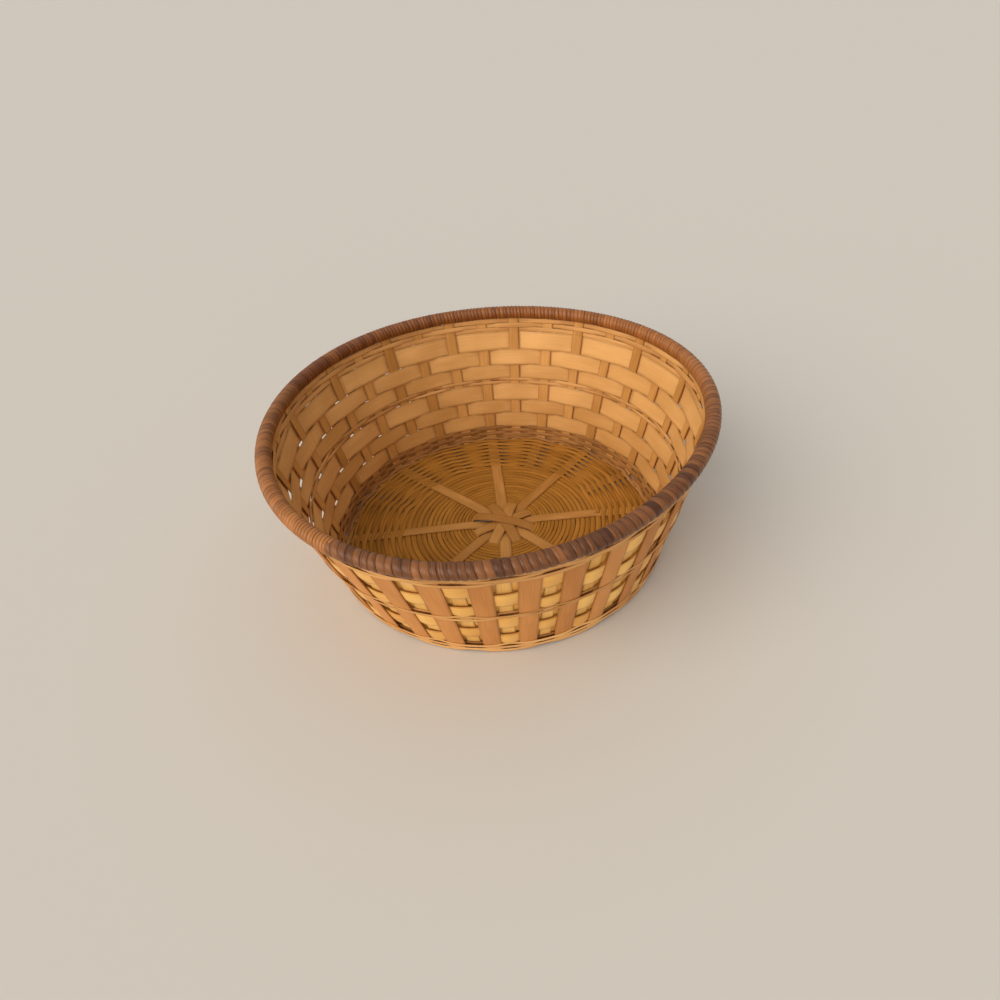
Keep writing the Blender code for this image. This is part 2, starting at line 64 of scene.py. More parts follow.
class Lane(Enum):
    """Which stakes a woven strand passes on the inside."""

    EVEN_STAKES = 0
    ODD_STAKES = 1


@dataclass(frozen=True)
class BasketPlan:
    """The sizes of the basket, and the places that they give to every strip and strand."""

    rim_radius: float = 119.5 * MM
    base_radius: float = 95.0 * MM
    rim_oval: float = 3.0 * MM
    oval_turn: float = radians(60.0)
    rim_saddle: float = 2.3 * MM
    saddle_turn: float = radians(-21.0)
    stake_count: int = 32
    base_strips: int = 8
    spacing_wobble: float = radians(1.5)
    wobble_turn: float = radians(8.0)
    clearance: float = 0.3 * MM
    stake_thickness: float = 0.5 * MM
    stake_width: float = 6.6 * MM
    corner_bend: float = 1.6 * MM
    side_stake_tail: float = 3.8 * MM
    hub_offset: float = 3.4 * MM
    hub_offset_turn: float = radians(20.0)
    weave_width: float = 2.0 * MM
    weave_rounds: int = 14
    weave_first_pitch: float = 1.9 * MM
    pair_rounds: int = 7
    pair_width: float = 1.8 * MM
    strand_seat: float = 0.3 * MM
    strand_crown: float = 0.6 * MM
    hub_flat_radius: float = 8.0 * MM
    hub_splay_radius: float = 17.5 * MM
    hub_edge_radius: float = 21.0 * MM
    # The place of each base strip in the stack at the hub, counted up from the ground.
    hub_levels: tuple[int, ...] = (0, 4, 1, 5, 2, 6, 3, 7)
    foot_width: float = 2.0 * MM
    foot_thickness: float = 1.2 * MM
    strand_width: float = 1.6 * MM
    bottom_strands: int = 3
    bottom_pitch: float = 2.0 * MM
    bottom_start: float = 2.2 * MM
    middle_strands: int = 2
    top_strands: int = 3
    top_pitch: float = 2.9 * MM
    weft_width: float = 10.25 * MM
    # The share of that width that each weft has, from the lowest to the highest.
    weft_width_shares: tuple[float, ...] = (0.95, 0.88, 1.12, 0.90, 1.00, 1.15)
    weft_thickness: float = 0.6 * MM
    strip_thickness: float = 0.6 * MM
    strip_width_bottom: float = 8.8 * MM
    strip_width_top: float = 11.2 * MM
    hoop_thickness: float = 1.7 * MM
    hoop_height: float = 6.0 * MM
    hoop_edge_height: float = 2.2 * MM
    stake_end_share: float = 0.45
    binding_lip: float = 3.6 * MM

    @property
    def spokes(self) -> int:
        """Number of spokes in the base: each of its strips is two of them."""
        return 2 * self.base_strips

    @property
    def stake_end(self) -> float:
        """Height up the wall at which the stakes and strips end, hidden between the hoops."""
        return self.wall_length + self.hoop_height * self.stake_end_share

    @property
    def base_height(self) -> float:
        """Height of the middle of the base stakes above the ground."""
        return self.foot_thickness + self.clearance + self.stake_thickness / 2

    @property
    def strip_out(self) -> float:
        """Distance of the wide outer strips out from the narrow stakes."""
        layers = self.stake_thickness / 2 + self.weft_thickness + self.strip_thickness / 2
        return layers + 2 * self.clearance

    @property
    def middle_pitch(self) -> float:
        """Pitch of the two strands at the middle of the wall."""
        return self.strand_width + self.clearance

    @property
    def wall_length(self) -> float:
        """Length of the wall from the corner up its slope to the middle of the rim."""
        bottom = self.bottom_start + self.bottom_strands * self.bottom_pitch
        rows = sum(share * self.weft_width + self.clearance for share in self.weft_width_shares)
        middle = self.middle_strands * self.middle_pitch
        top = self.top_strands * self.top_pitch
        return bottom + rows + middle + top + self.clearance + self.binding_lip

    @property
    def wall_tilt(self) -> float:
        """Angle by which the wall leans outwards."""
        return asin((self.rim_radius - self.base_radius) / self.wall_length)

    @property
    def corner_tangent(self) -> float:
        """Distance in from the corner at which the bend of a stake starts."""
        return self.corner_bend * tan((pi / 2 - self.wall_tilt) / 2)

    @property
    def foot_radius(self) -> float:
        """Radius of the pair of strands that the basket stands on."""
        return self.base_radius - self.corner_tangent - self.foot_width / 2 - self.clearance

    @property
    def weave_start(self) -> float:
        """Radius of the first round of the inner strand."""
        return self.hub_edge_radius + self.clearance + self.weave_width / 2

    @property
    def pair_reach(self) -> float:
        """Distance of each strand of the twined pair from the middle of the pair."""
        return (self.pair_width + self.clearance) / 2

    @property
    def pair_end(self) -> float:
        """Radius at which the last round of the twined pair ends, just inside the foot pair."""
        foot = self.foot_radius - (self.foot_thickness + self.clearance) / 2 - self.foot_thickness / 2
        return foot - self.clearance - self.pair_reach - self.pair_width / 2

    @property
    def pair_start(self) -> float:
        """Radius at which the twined pair starts and the inner strand ends."""
        return self.pair_end - self.pair_rounds * 4 * self.pair_reach

    @property
    def weave_growth(self) -> float:
        """Growth of the inner strand's pitch from one round to the next."""
        mean = (self.pair_start - self.weave_start) / self.weave_rounds
        return 2 * (mean - self.weave_first_pitch) / self.weave_rounds

    def weave_pitch(self, rounds: np.ndarray | float) -> np.ndarray | float:
        """Pitch of the inner strand after a number of rounds."""
        return self.weave_first_pitch + self.weave_growth * rounds

    def weave_radius(self, rounds: np.ndarray | float) -> np.ndarray | float:
        """Radius of the inner strand after a number of rounds."""
        return self.weave_start + (self.weave_first_pitch + self.weave_growth * rounds / 2) * rounds

    @property
    def rim_middle_out(self) -> float:
        """Distance of the middle of the rim out from the narrow stakes."""
        return (self.strip_out - self.stake_thickness / 2 - self.clearance) / 2

    def stake_turn(self, number: np.ndarray | float) -> np.ndarray | float:
        """Angle of a stake round the basket, with the slight wobble of handwork."""
        even = np.asarray(number) * (2 * pi / self.stake_count)
        return even + self.spacing_wobble * np.sin(2 * (even + self.wobble_turn))

    def base_point(self, turn: np.ndarray, radius: np.ndarray, height: np.ndarray) -> np.ndarray:
        """Points of the base at angles, radii and heights, round a hub that lies off the middle."""
        turn, radius, height = np.broadcast_arrays(turn, radius, height)
        offset = self.hub_offset * np.maximum(1 - radius / self.pair_end, 0.0)
        x = radius * np.cos(turn) + offset * cos(self.hub_offset_turn)
        y = radius * np.sin(turn) + offset * sin(self.hub_offset_turn)
        return np.stack([x, y, height], axis=-1)

    def wall_point(self, turn: np.ndarray, rise: np.ndarray, out: np.ndarray) -> np.ndarray:
        """Points of the wall at angles, heights up its slope and distances out from the stakes."""
        turn, rise, out = np.broadcast_arrays(turn, rise, out)
        share = rise / self.wall_length
        tilt = self.wall_tilt
        radius = self.base_radius + rise * sin(tilt) + out * cos(tilt)
        height = self.base_height + rise * cos(tilt) - out * sin(tilt)
        radius = radius + share * self.rim_oval * np.cos(2 * (turn - self.oval_turn))
        height = height + share * self.rim_saddle * np.cos(2 * (turn - self.saddle_turn))
        return np.stack([radius * np.cos(turn), radius * np.sin(turn), height], axis=-1)

    def strip_width(self, rise: np.ndarray) -> np.ndarray:
        """Width of a wide outer strip at heights up the wall."""
        share = np.clip(rise / self.wall_length, 0.0, 1.0)
        return self.strip_width_bottom + (self.strip_width_top - self.strip_width_bottom) * share

    def half_angle(self, width: np.ndarray, rise: np.ndarray) -> np.ndarray:
        """Angle that half of a width takes up at a height on the wall."""
        return width / 2 / (self.base_radius + rise * sin(self.wall_tilt))

    def weft_start(self, row: int) -> float:
        """Height up the wall of the lower edge of a weft, or of the band above the last one."""
        below = sum(share * self.weft_width + self.clearance for share in self.weft_width_shares[:row])
        above_middle = 2 * row >= len(self.weft_width_shares)
        middle = self.middle_strands * self.middle_pitch if above_middle else 0.0
        return self.bottom_start + self.bottom_strands * self.bottom_pitch + below + middle


@dataclass
class Unevenness:
    """Smooth unevenness round the basket, drawn anew for each strip and the same on each run."""

    seed: int
    waves: int = 7

    def __post_init__(self) -> None:
        """Draw the sizes and phases of the waves."""
        self.draw = random.Random(self.seed)
        self.parts = [
            (wave, self.draw.uniform(0.4, 1.0) / wave ** 0.5, self.draw.uniform(0.0, 2 * pi))
            for wave in range(2, 2 + self.waves)
        ]

    def along(self, turn: np.ndarray, size: float) -> np.ndarray:
        """Offsets of about the given size at angles round the basket, or at places along a strip.

        A factor on the angles, such as 1.3, gives one strip several waves that differ.
        """
        total = sum(part * np.sin(wave * np.asarray(turn) + phase) for wave, part, phase in self.parts)
        return size * total / 2.0

    def share(self, size: float) -> float:
        """One offset between minus and plus the given size."""
        return self.draw.uniform(-size, size)


def linear(hex_colour: str) -> tuple[float, float, float, float]:
    """Turn six hex digits of sRGB into the linear red, green, blue and alpha of a node socket."""
    shares = [int(hex_colour[place:place + 2], 16) / 255 for place in (0, 2, 4)]
    curve = [
        share / 12.92 if share <= 0.04045 else ((share + 0.055) / 1.055) ** 2.4 for share in shares
    ]
    return (*curve, 1.0)


def add_node(
    tree: bpy.types.NodeTree, kind: str, settings: dict, links: dict | None = None
) -> bpy.types.Node:
    """Add one node to a material, with its settings and what its sockets read.

    Args:
        tree: the material's node tree.
        kind: the node's type.
        settings: values by the name or place of the socket, or else by the name of the property.
        links: output sockets of other nodes, by the name or place of the input that reads them.

    Returns:
        The new node.
    """
    node = tree.nodes.new(kind)
    for name, value in settings.items():
        if isinstance(name, int) or name in node.inputs:
            node.inputs[name].default_value = value
        else:
            setattr(node, name, value)
    for place, source in (links or {}).items():
        tree.links.new(source, node.inputs[place])
    return node


@dataclass(frozen=True)
class SplitBamboo:
    """Split bamboo or cane: long pale fibres, darker streaks, browned cut edges and a slight sheen.

    The fibres run along the strip, and the tone differs from strip to strip. The darkening towards the
    edges is partly browning and dust on the cut edges, and partly painted shade in the crevices where
    strips, strands and turns of cane meet. Real fibres are about 0.1 mm wide, which is too fine to
    show, so they are drawn 0.35 mm wide.
    """

    name: str
    pale: str
    deep: str
    # Colour towards the edges: partly browning and dust on the cut edges, partly painted shade where
    # pieces meet.
    edge: str
    fibre_width: float = 0.35 * MM
    fibre_length: float = 24.0 * MM
    stain_size: float = 14.0 * MM
    stain_stretch: float = 0.3
    tone_share: float = 0.35
    fibre_share: float = 0.55
    edge_wear_and_shade_share: float = 0.45
    roughness_low: float = 0.48
    roughness_high: float = 0.68
    bump_height: float = 0.05 * MM
    coat: float = 0.0
    coat_roughness: float = 0.28
    specular: float = 0.3
    ior: float = 1.47
    fibre_range: tuple[float, float] = (0.30, 0.70)
    stain_range: tuple[float, float] = (0.35, 0.65)
    stain_share: float = 0.45
    edge_start: float = 0.74
    bump_strength: float = 0.8

    def make(self) -> bpy.types.Material:
        """Build the material. Its UV map holds real lengths: along the strip, then across it."""
        material = bpy.data.materials.new(self.name)
        material.use_nodes = True
        tree = material.node_tree
        shader = tree.nodes["Principled BSDF"]
        surface = {
            "IOR": self.ior, "Specular IOR Level": self.specular,
            "Coat Weight": self.coat, "Coat Roughness": self.coat_roughness,
        }
        for name, value in surface.items():
            shader.inputs[name].default_value = value
        place = add_node(tree, "ShaderNodeUVMap", {"uv_map": "UVMap"}).outputs["UV"]
        fibre_scale = (1 / self.fibre_length, 1 / self.fibre_width, 1.0)
        stain_scale = (self.stain_stretch / self.stain_size, 1 / self.stain_size, 1.0)
        patterns = []
        for scale, detail, roughness in ((fibre_scale, 3.0, 0.6), (stain_scale, 2.0, 0.5)):
            scaled = add_node(tree, "ShaderNodeMapping", {"Scale": scale}, {"Vector": place})
            noise = add_node(
                tree, "ShaderNodeTexNoise", {"Scale": 1.0, "Detail": detail, "Roughness": roughness},
                {"Vector": scaled.outputs["Vector"]},
            )
            patterns.append(noise.outputs["Fac"])
        fibres, stains = patterns
        tone, edge = (
            add_node(tree, "ShaderNodeAttribute", {"attribute_name": name}).outputs["Fac"]
            for name in ("tone", "edge")
        )
        ranges = (
            (fibres, *self.fibre_range, 0.0, self.fibre_share),
            (stains, *self.stain_range, 0.0, self.stain_share),
            # Darkening towards the edges: partly browning and dust, partly painted shade in the
            # crevices between pieces.
            (edge, self.edge_start, 1.0, 0.0, self.edge_wear_and_shade_share),
            (fibres, *self.fibre_range, self.roughness_low, self.roughness_high),
        )
        fibre_part, stain_part, edge_wear_and_shade, rough = (
            add_node(
                tree, "ShaderNodeMapRange",
                {"From Min": low, "From Max": high, "To Min": start, "To Max": end}, {"Value": source},
            ).outputs["Result"]
            for source, low, high, start, end in ranges
        )
        both = add_node(tree, "ShaderNodeMath", {"operation": "ADD"}, {0: fibre_part, 1: stain_part})
        toned = add_node(
            tree, "ShaderNodeMath",
            {"operation": "MULTIPLY_ADD", "use_clamp": True, 1: self.tone_share},
            {0: tone, 2: both.outputs[0]},
        )
        # Sockets 6 and 7 of a colour mix are its two colours, and output 2 is the mixed one.
        body = add_node(
            tree, "ShaderNodeMix", {"data_type": "RGBA", 6: linear(self.pale), 7: linear(self.deep)},
            {0: toned.outputs[0]},
        )
        colour = add_node(
            tree, "ShaderNodeMix", {"data_type": "RGBA", 7: linear(self.edge)},
            {0: edge_wear_and_shade, 6: body.outputs[2]},
        )
        bump = add_node(
            tree, "ShaderNodeBump", {"Strength": self.bump_strength, "Distance": self.bump_height},
            {"Height": fibres},
        )
        looks = {"Base Color": colour.outputs[2], "Roughness": rough, "Normal": bump.outputs[0]}
        for name, source in looks.items():
            tree.links.new(source, shader.inputs[name])
        return material


@dataclass
class Ribbon:
    """One strip or strand: a grid laid on rows of points, then thickened or rolled into a tube."""

    name: str
    points: np.ndarray
    closed: bool = False
    rolled: bool = False
    thickness: float = 0.0
    edge_round: float = 0.12 * MM
    tone: float | np.ndarray = 0.0
    edge: np.ndarray | None = None
    two_faced: bool = False

    def lay(self) -> bpy.types.Object:
        """Lay a flat grid on the points, close it and give it its thickness.

        Returns:
            The piece, closed and with its faces outwards. Its UV map holds metres along and across.
        """
        steps, columns = self.points.shape[:2]
        spans = steps if self.closed else steps - 1
        sides = columns if self.rolled else columns - 1
        bpy.ops.object.select_all(action="DESELECT")
        bpy.ops.mesh.primitive_grid_add(x_subdivisions=spans, y_subdivisions=sides, size=1.0)
        piece = bpy.context.active_object
        piece.name = self.name
        mesh = piece.data
        mesh.name = self.name
        flat = np.empty(len(mesh.vertices) * 3, dtype=np.float32)
        mesh.vertices.foreach_get("co", flat)
        flat = flat.reshape(-1, 3)
        step = np.rint((flat[:, 0] + 0.5) * spans).astype(int)
        side = np.rint((flat[:, 1] + 0.5) * sides).astype(int)
        laid = self.points[step % steps, side % columns].astype(np.float32)
        mesh.vertices.foreach_set("co", laid.ravel())
        self._scale_uv(mesh)
        self._write_share(mesh, "tone", np.broadcast_to(self.tone, steps)[step % steps])
        # Shares towards the strip's edges, which the finish darkens: partly browning and dust, partly
        # painted shade where strips meet.
        edge = self.edge if self.edge is not None else np.abs(np.linspace(-1.0, 1.0, columns))
        self._write_share(mesh, "edge", edge[side % columns])
        self._close()
        if self.thickness:
            self._thicken(piece)
        bpy.ops.object.shade_smooth_by_angle(angle=radians(50.0))
        return piece

    def _scale_uv(self, mesh: bpy.types.Mesh) -> None:
        """Stretch the grid's UV map from shares to metres."""
        middle = self.points[:, self.points.shape[1] // 2]
        length = np.linalg.norm(np.diff(middle, axis=0), axis=1).sum()
        across = np.linalg.norm(np.diff(self.points[len(middle) // 2], axis=0), axis=1).sum()
        layer = mesh.uv_layers.active
        places = np.empty(len(mesh.loops) * 2, dtype=np.float32)
        layer.uv.foreach_get("vector", places)
        places = places.reshape(-1, 2) * (length, across)
        layer.uv.foreach_set("vector", places.astype(np.float32).ravel())

    def _write_share(self, mesh: bpy.types.Mesh, name: str, values: np.ndarray) -> None:
        """Store a share for each point as an attribute that the finish reads."""
        layer = mesh.attributes.new(name, "FLOAT", "POINT")
        layer.data.foreach_set("value", values.astype(np.float32))

    def _close(self) -> None:
        """Merge the seams, cap the open ends of a strand and turn the faces outwards."""
        bpy.ops.object.mode_set(mode="EDIT")
        bpy.ops.mesh.select_all(action="SELECT")
        if self.closed or self.rolled:
            bpy.ops.mesh.remove_doubles(threshold=MERGE_DISTANCE)
        if self.rolled:
            bpy.ops.mesh.fill_holes(sides=0)
            bpy.ops.mesh.normals_make_consistent(inside=False)
        bpy.ops.object.mode_set(mode="OBJECT")

    def _thicken(self, piece: bpy.types.Object) -> None:
        """Give a flat strip its thickness on both sides and round its cut edges."""
        solid = piece.modifiers.new("Thickness", "SOLIDIFY")
        solid.thickness = self.thickness
        solid.offset = 0.0
        if self.two_faced:
            piece.data.materials.append(None)
            piece.data.materials.append(None)
            solid.material_offset = 1
        bevel = piece.modifiers.new("Cut edges", "BEVEL")
        bevel.width = self.edge_round
        bevel.segments = 2
        bevel.limit_method = "ANGLE"
        bevel.angle_limit = radians(60.0)
        for modifier in ("Thickness", "Cut edges"):
            bpy.ops.object.modifier_apply(modifier=modifier)


def join(pieces: list[bpy.types.Object], name: str) -> bpy.types.Object:
    """Join pieces of one strand into one object with the given name."""
    bpy.ops.object.select_all(action="DESELECT")
    for piece in pieces:
        piece.select_set(True)
    bpy.context.view_layer.objects.active = pieces[0]
    if len(pieces) > 1:
        bpy.ops.object.join()
    pieces[0].name = name
    pieces[0].data.name = name
    return pieces[0]


def smoothed(rows: np.ndarray, passes: int) -> np.ndarray:
    """Round the kinks of a path by averaging each row but the two ends with its neighbours."""
    rows = rows.copy()
    for _ in range(passes):
        rows[1:-1] = (rows[:-2] + 2 * rows[1:-1] + rows[2:]) / 4
    return rows


def oval_section(
    width: float, height: float, flat_share: float = 0.0, fullness: float = 1.0, points: int = 8
) -> np.ndarray:
    """Outline of a split strand: oval, and flatter on its lower side where it was split.

    Args:
        width: full width.
        height: full height.
        flat_share: how far the lower side is flattened, from 0 to 1.
        fullness: 1 for an oval, and less for an outline with fuller shoulders.
        points: number of points round it.

    Returns:
        Pairs of distances across and up.
    """
    angle = np.arange(points) * (2 * pi / points)
    cosine, sine = np.cos(angle).round(6), np.sin(angle).round(6)
    across = width / 2 * np.sign(cosine) * np.abs(cosine) ** fullness
    up = height / 2 * np.sign(sine) * np.abs(sine) ** fullness
    up = np.where(up < 0, up * (1 - flat_share), up)
    return np.stack([across, up], axis=-1)


@dataclass
class SubAssembly:
    """A group of pieces that share a plan and are reported one by one as they are made."""

    plan: BasketPlan
    finishes: dict[str, bpy.types.Material]
    pieces: list[bpy.types.Object] = field(default_factory=list)

    def paint(self, piece: bpy.types.Object, *finishes: str) -> bpy.types.Object:
        """Give a piece its finish, or two where its two faces differ.

        Args:
            piece: the piece, whose material indices say which face is which.
            finishes: names of its finishes, the one for its outer face first.

        Returns:
            The same piece.
        """
        places = np.empty(len(piece.data.polygons), dtype=np.int32)
        piece.data.polygons.foreach_get("material_index", places)
        piece.data.materials.clear()
        for name in finishes:
            piece.data.materials.append(self.finishes[name])
        piece.data.polygons.foreach_set("material_index", np.minimum(places, len(finishes) - 1))
        return piece

    def strand(
        self, name: str, points: np.ndarray, tone: np.ndarray, section: np.ndarray, closed: bool = False
    ) -> bpy.types.Object:
        """Roll rows of points into a strand, whose section says how near each point is to its sides."""
        # The finish darkens each strand towards its sides: partly browning and dust, partly painted
        # shade where strands lie against each other.
        edge = np.abs(section[:, 0]) / np.abs(section[:, 0]).max()
        return Ribbon(name, points, closed, rolled=True, tone=tone, edge=edge).lay()

    def place(self, piece: bpy.types.Object, slot: str, node: str) -> None:
        """Let a painted piece ride on the basket and stand for its CAD node.

        Args:
            piece: the finished piece.
            slot: the record's material slot, which is not used.
            node: the CAD node that the piece stands for, alone or with others.
        """
        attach(piece, "root")
        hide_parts(node)
        self.pieces.append(piece)
        LOG.info("made %s: %d faces", piece.name, len(piece.data.polygons))


@dataclass
class StakeWork(SubAssembly):
    """Rows of points of the narrow stakes, which lie in the base and bend up into the wall."""

    stake_step: float = 1.2 * MM
    stake_spread: float = 0.08
    stake_lean: float = 0.004
    stake_ripple: float = 0.035
    bend_rows: int = 5

    def base_row(self, turn: float, radius: float, height: float, width: float) -> np.ndarray:
        """Points across a narrow stake that runs out along the base."""
        side = np.array([-sin(turn), cos(turn), 0.0]) * width / 2
        middle = self.plan.base_point(turn, radius, height)
        return middle + STAKE_ACROSS[:, None] * side

    def bent_rows(self, turn: float, width: float) -> list[np.ndarray]:
        """Points across a stake where it bends from the base up into the wall."""
        plan = self.plan
        rows = []
        for angle in np.linspace(0.0, pi / 2 - plan.wall_tilt, self.bend_rows):
            radius = plan.base_radius - plan.corner_tangent + plan.corner_bend * sin(angle)
            height = plan.base_height + plan.corner_bend * (1 - cos(angle))
            rows.append(self.base_row(turn, radius, height, width))
        return rows

    def wall_rows(self, turn: float, width: float, uneven: Unevenness) -> list[np.ndarray]:
        """Points across a narrow stake from the corner up to its top inside the rim."""
        plan = self.plan
        rises = np.arange(plan.corner_tangent + self.stake_step, plan.stake_end, self.stake_step)
        lean = uneven.share(self.stake_lean)
        rows = []
        for rise in rises:
            real_width = width * (1 + float(uneven.along(rise * 70, self.stake_ripple)))
            half = float(plan.half_angle(real_width, rise))
            middle = turn + lean * rise / plan.wall_length
            rows.append(plan.wall_point(middle + STAKE_ACROSS * half, rise, 0.0))
        return rows

    def lay_stake(
        self, name: str, slot: str, rows: np.ndarray, tone: np.ndarray, *finishes: str
    ) -> None:
        """Lay a narrow stake on its rows of points, in the two finishes of its faces."""
        thickness = self.plan.stake_thickness
        piece = Ribbon(f"{name}_bamboo", rows, thickness=thickness, tone=tone, two_faced=True).lay()
        self.place(self.paint(piece, *finishes), slot, name)


@dataclass(frozen=True)
class TwinedPair:
    """Two strands that swap places at each stake: one passes over it and the other under it."""

    name: str
    seed: int
    finish: str
    slot: str
    tone_step: float
    stakes: int
    rounds: int
    start: float
    pitch: float
    reach: float
    over_width: float
    side_width: float
    height: float
    over: float
    under: float
    closed: bool = False
    flat_share: float = 0.0
    taper_rounds: int = 0
    spread_power: float = 0.36
    lift_power: float = 1.3
    wander: float = 0.09 * MM
    width_ripple: float = 0.08
    steps_per_stake: int = 14


@dataclass
class Base(StakeWork):
    """The round base: eight crossing strips, the inner strand, the twined pair and the foot pair."""

    base_darkening_reach: float = 12.0 * MM
    base_darkening_tone: float = 0.95
    hub_pitch: float = 0.55 * MM
    hub_splay_share: float = 0.3
    lane_lift: float = 0.35 * MM
    hub_rounds: float = 2.4
    hub_dip: float = 0.35 * MM
    dive_lead: float = 0.2 * MM
    outer_run: float = 5.0 * MM
    weave_steps: int = 160
    weave_wander: float = 0.16 * MM
    weave_wave: float = 0.16 * MM
    weave_ripple: float = 0.06 * MM
    weave_fill: float = 0.975
    weave_gap_share: float = 0.42
    weave_taper_rounds: float = 0.12
    foot_shift: float = 0.3 * MM

    @property
    def spoke_pair(self) -> TwinedPair:
        """The pair that is twined round the sixteen spokes, round beside round."""
        plan = self.plan
        return TwinedPair(
            name="base_twined_strand", seed=150, finish="base_strand", slot="base_strand",
            tone_step=0.31, stakes=plan.spokes, rounds=plan.pair_rounds, start=plan.pair_start,
            pitch=4 * plan.pair_reach, reach=plan.pair_reach, over_width=3.2 * MM,
            side_width=2.28 * MM, height=0.95 * MM, over=0.80 * MM, under=0.72 * MM, flat_share=0.3,
            taper_rounds=1,
        )

    @property
    def foot_pair(self) -> TwinedPair:
        """The pair of one round that is twined round every stake at the corner."""
        plan = self.plan
        lift = plan.stake_thickness / 2 + plan.clearance + plan.foot_thickness / 2
        return TwinedPair(
            # The foot pair takes the darker corner finish, as painted shade in the corner.
            name="foot_strand", seed=160, finish="shaded_corner_strand", slot="thin_strand",
            tone_step=2 * pi / plan.stake_count, stakes=plan.stake_count, rounds=1,
            start=plan.foot_radius + self.foot_shift, pitch=0.0,
            reach=(plan.foot_thickness + plan.clearance) / 2, over_width=2.9 * MM,
            side_width=2.4 * MM, height=plan.foot_thickness, over=lift, under=lift, closed=True,
        )

    def build(self) -> None:
        """Make every piece of the base, from the ground up."""
        for number in range(self.plan.base_strips):
            self.base_strip(number)
        self.inner_strand()
        for pair in (self.spoke_pair, self.foot_pair):
            for number in range(2):
                self.twined_strand(pair, number)

    def base_strip(self, number: int) -> None:
        """Lay one strip from the rim, down the wall, through the hub and up the far wall."""
        plan = self.plan
        uneven = Unevenness(100 + number)
        width = plan.stake_width * (1 + uneven.share(self.stake_spread))
        near = self.half_strip(number, number, width, uneven)
        far = self.half_strip(number + plan.base_strips, number, width, uneven)[:, ::-1]
        rows = smoothed(np.concatenate([near[::-1], far[1:]]), 3)
        from_middle = np.abs(np.arange(len(rows)) - (len(rows) - 1) / 2) * self.stake_step
        # The part of each strip that lies in the base is a little darker than the part up the wall.
        base_darkening = np.clip((plan.base_radius - from_middle) / self.base_darkening_reach, 0.0, 1.0) * self.base_darkening_tone
        tone = uneven.share(0.6) + uneven.along(np.linspace(0, 6, len(rows)), 0.25) + base_darkening
        self.lay_stake(f"base_strip_{number + 1}", "base_strip", rows, tone, "stake_skin", "stake")

    def half_strip(self, spoke: int, number: int, width: float, uneven: Unevenness) -> np.ndarray:
        """Rows of points of half a base strip, from the middle of the hub to the rim.

        Args:
            spoke: the place of this half among the sixteen spokes.
            number: the number of the whole strip, which gives its place in the stack at the hub.
            width: width of the strip.
            uneven: the strip's own unevenness.

        Returns:
            Rows of points from the middle of the hub outwards and up the wall.
        """
        plan = self.plan
        pair = self.spoke_pair
        turn = float(plan.stake_turn(2 * spoke))
        half_thickness = plan.stake_thickness / 2
        if number % 2 == 0:
            lane = plan.base_height + plan.strand_crown + half_thickness
            outer = plan.base_height + self.lane_lift
        else:
            lane = plan.base_height - plan.strand_seat - plan.clearance - half_thickness
            outer = plan.base_height
        lowest = plan.clearance + half_thickness
        stack = lowest + self.hub_pitch * plan.hub_levels[number]
        middle = lowest + self.hub_pitch * (plan.base_strips - 1) / 2
        splay = middle + (stack - middle) * self.hub_splay_share
        last_round = plan.weave_rounds - 1 + spoke / plan.spokes
        dive_start = plan.weave_radius(last_round) + plan.weave_pitch(last_round) / 2
        dive_end = pair.start + pair.pitch * spoke / plan.spokes - self.dive_lead
        bend_start = plan.base_radius - plan.corner_tangent
        # Stacked at the hub, then over or under the inner strand, then level in the twined pair.
        stations = np.array([
            (0.0, stack), (plan.hub_flat_radius, stack), (plan.hub_splay_radius, splay),
            (plan.hub_edge_radius, lane), (dive_start, lane), (dive_end, outer),
            (bend_start - self.outer_run, outer), (bend_start, plan.base_height),
        ])
        radii = np.arange(0.0, bend_start, self.stake_step)
        heights = np.interp(radii, stations[:, 0], stations[:, 1])
        widths = width * (1 + uneven.along(radii * 60, self.stake_ripple))
        base = [self.base_row(turn, *place) for place in zip(radii, heights, widths)]
        return np.array(base + self.bent_rows(turn, width) + self.wall_rows(turn, width, uneven))

    def inner_strand(self) -> None:
        """Lay the single strand that fills the middle of the base, in a spiral."""
        plan = self.plan
        uneven = Unevenness(140, waves=9)
        steps = np.arange(int((plan.weave_rounds + self.hub_rounds) * self.weave_steps))
        rounds = steps / self.weave_steps - self.hub_rounds
        even = rounds * 2 * pi
        turn = plan.stake_turn(rounds * plan.stake_count)
        radius = plan.weave_radius(rounds) + uneven.along(even * 1.037, self.weave_wander)
        lift = uneven.along(even * 1.31, self.weave_ripple)
        lift = lift - self.weave_wave * np.cos(plan.base_strips * even)
        lift = lift - self.hub_dip * np.clip(-rounds / self.hub_rounds, 0.0, 1.0)
        height = plan.base_height + (plan.strand_crown - plan.strand_seat) / 2 + lift
        gap = self.weave_gap_share * np.clip(uneven.along(even * 4.37, 1.0) - 0.40, 0.0, 0.7)
        width = plan.weave_pitch(rounds) * (self.weave_fill - gap + uneven.along(even * 0.83, 0.03))
        width = width * np.clip((rounds + self.hub_rounds) / self.weave_taper_rounds, 0.25, 1.0)
        section = oval_section(1.0, plan.strand_crown + plan.strand_seat, flat_share=0.4, fullness=0.6)
        radius = radius[:, None] + section[:, 0] * width[:, None]
        points = plan.base_point(turn[:, None], radius, height[:, None] + section[:, 1])
        piece = self.strand("base_weave_bamboo", points, uneven.along(even * 0.771, 0.55), section)
        self.place(self.paint(piece, "base_strand"), "base_strand", "base_weave_strand")

    def paired_points(
        self, pair: TwinedPair, number: int, uneven: Unevenness
    ) -> tuple[np.ndarray, np.ndarray]:
        """Points of one strand of a twined pair.

        Args:
            pair: the sizes of the pair.
            number: 0 or 1, the strand of the pair.
            uneven: the strand's own unevenness.

        Returns:
            Points for each step, and the place of each step along the strand, counted in stakes.
        """
        plan = self.plan
        all_rounds = pair.rounds + pair.taper_rounds
        steps = np.arange(all_rounds * pair.stakes * pair.steps_per_stake) / pair.steps_per_stake
        rounds = steps / pair.stakes
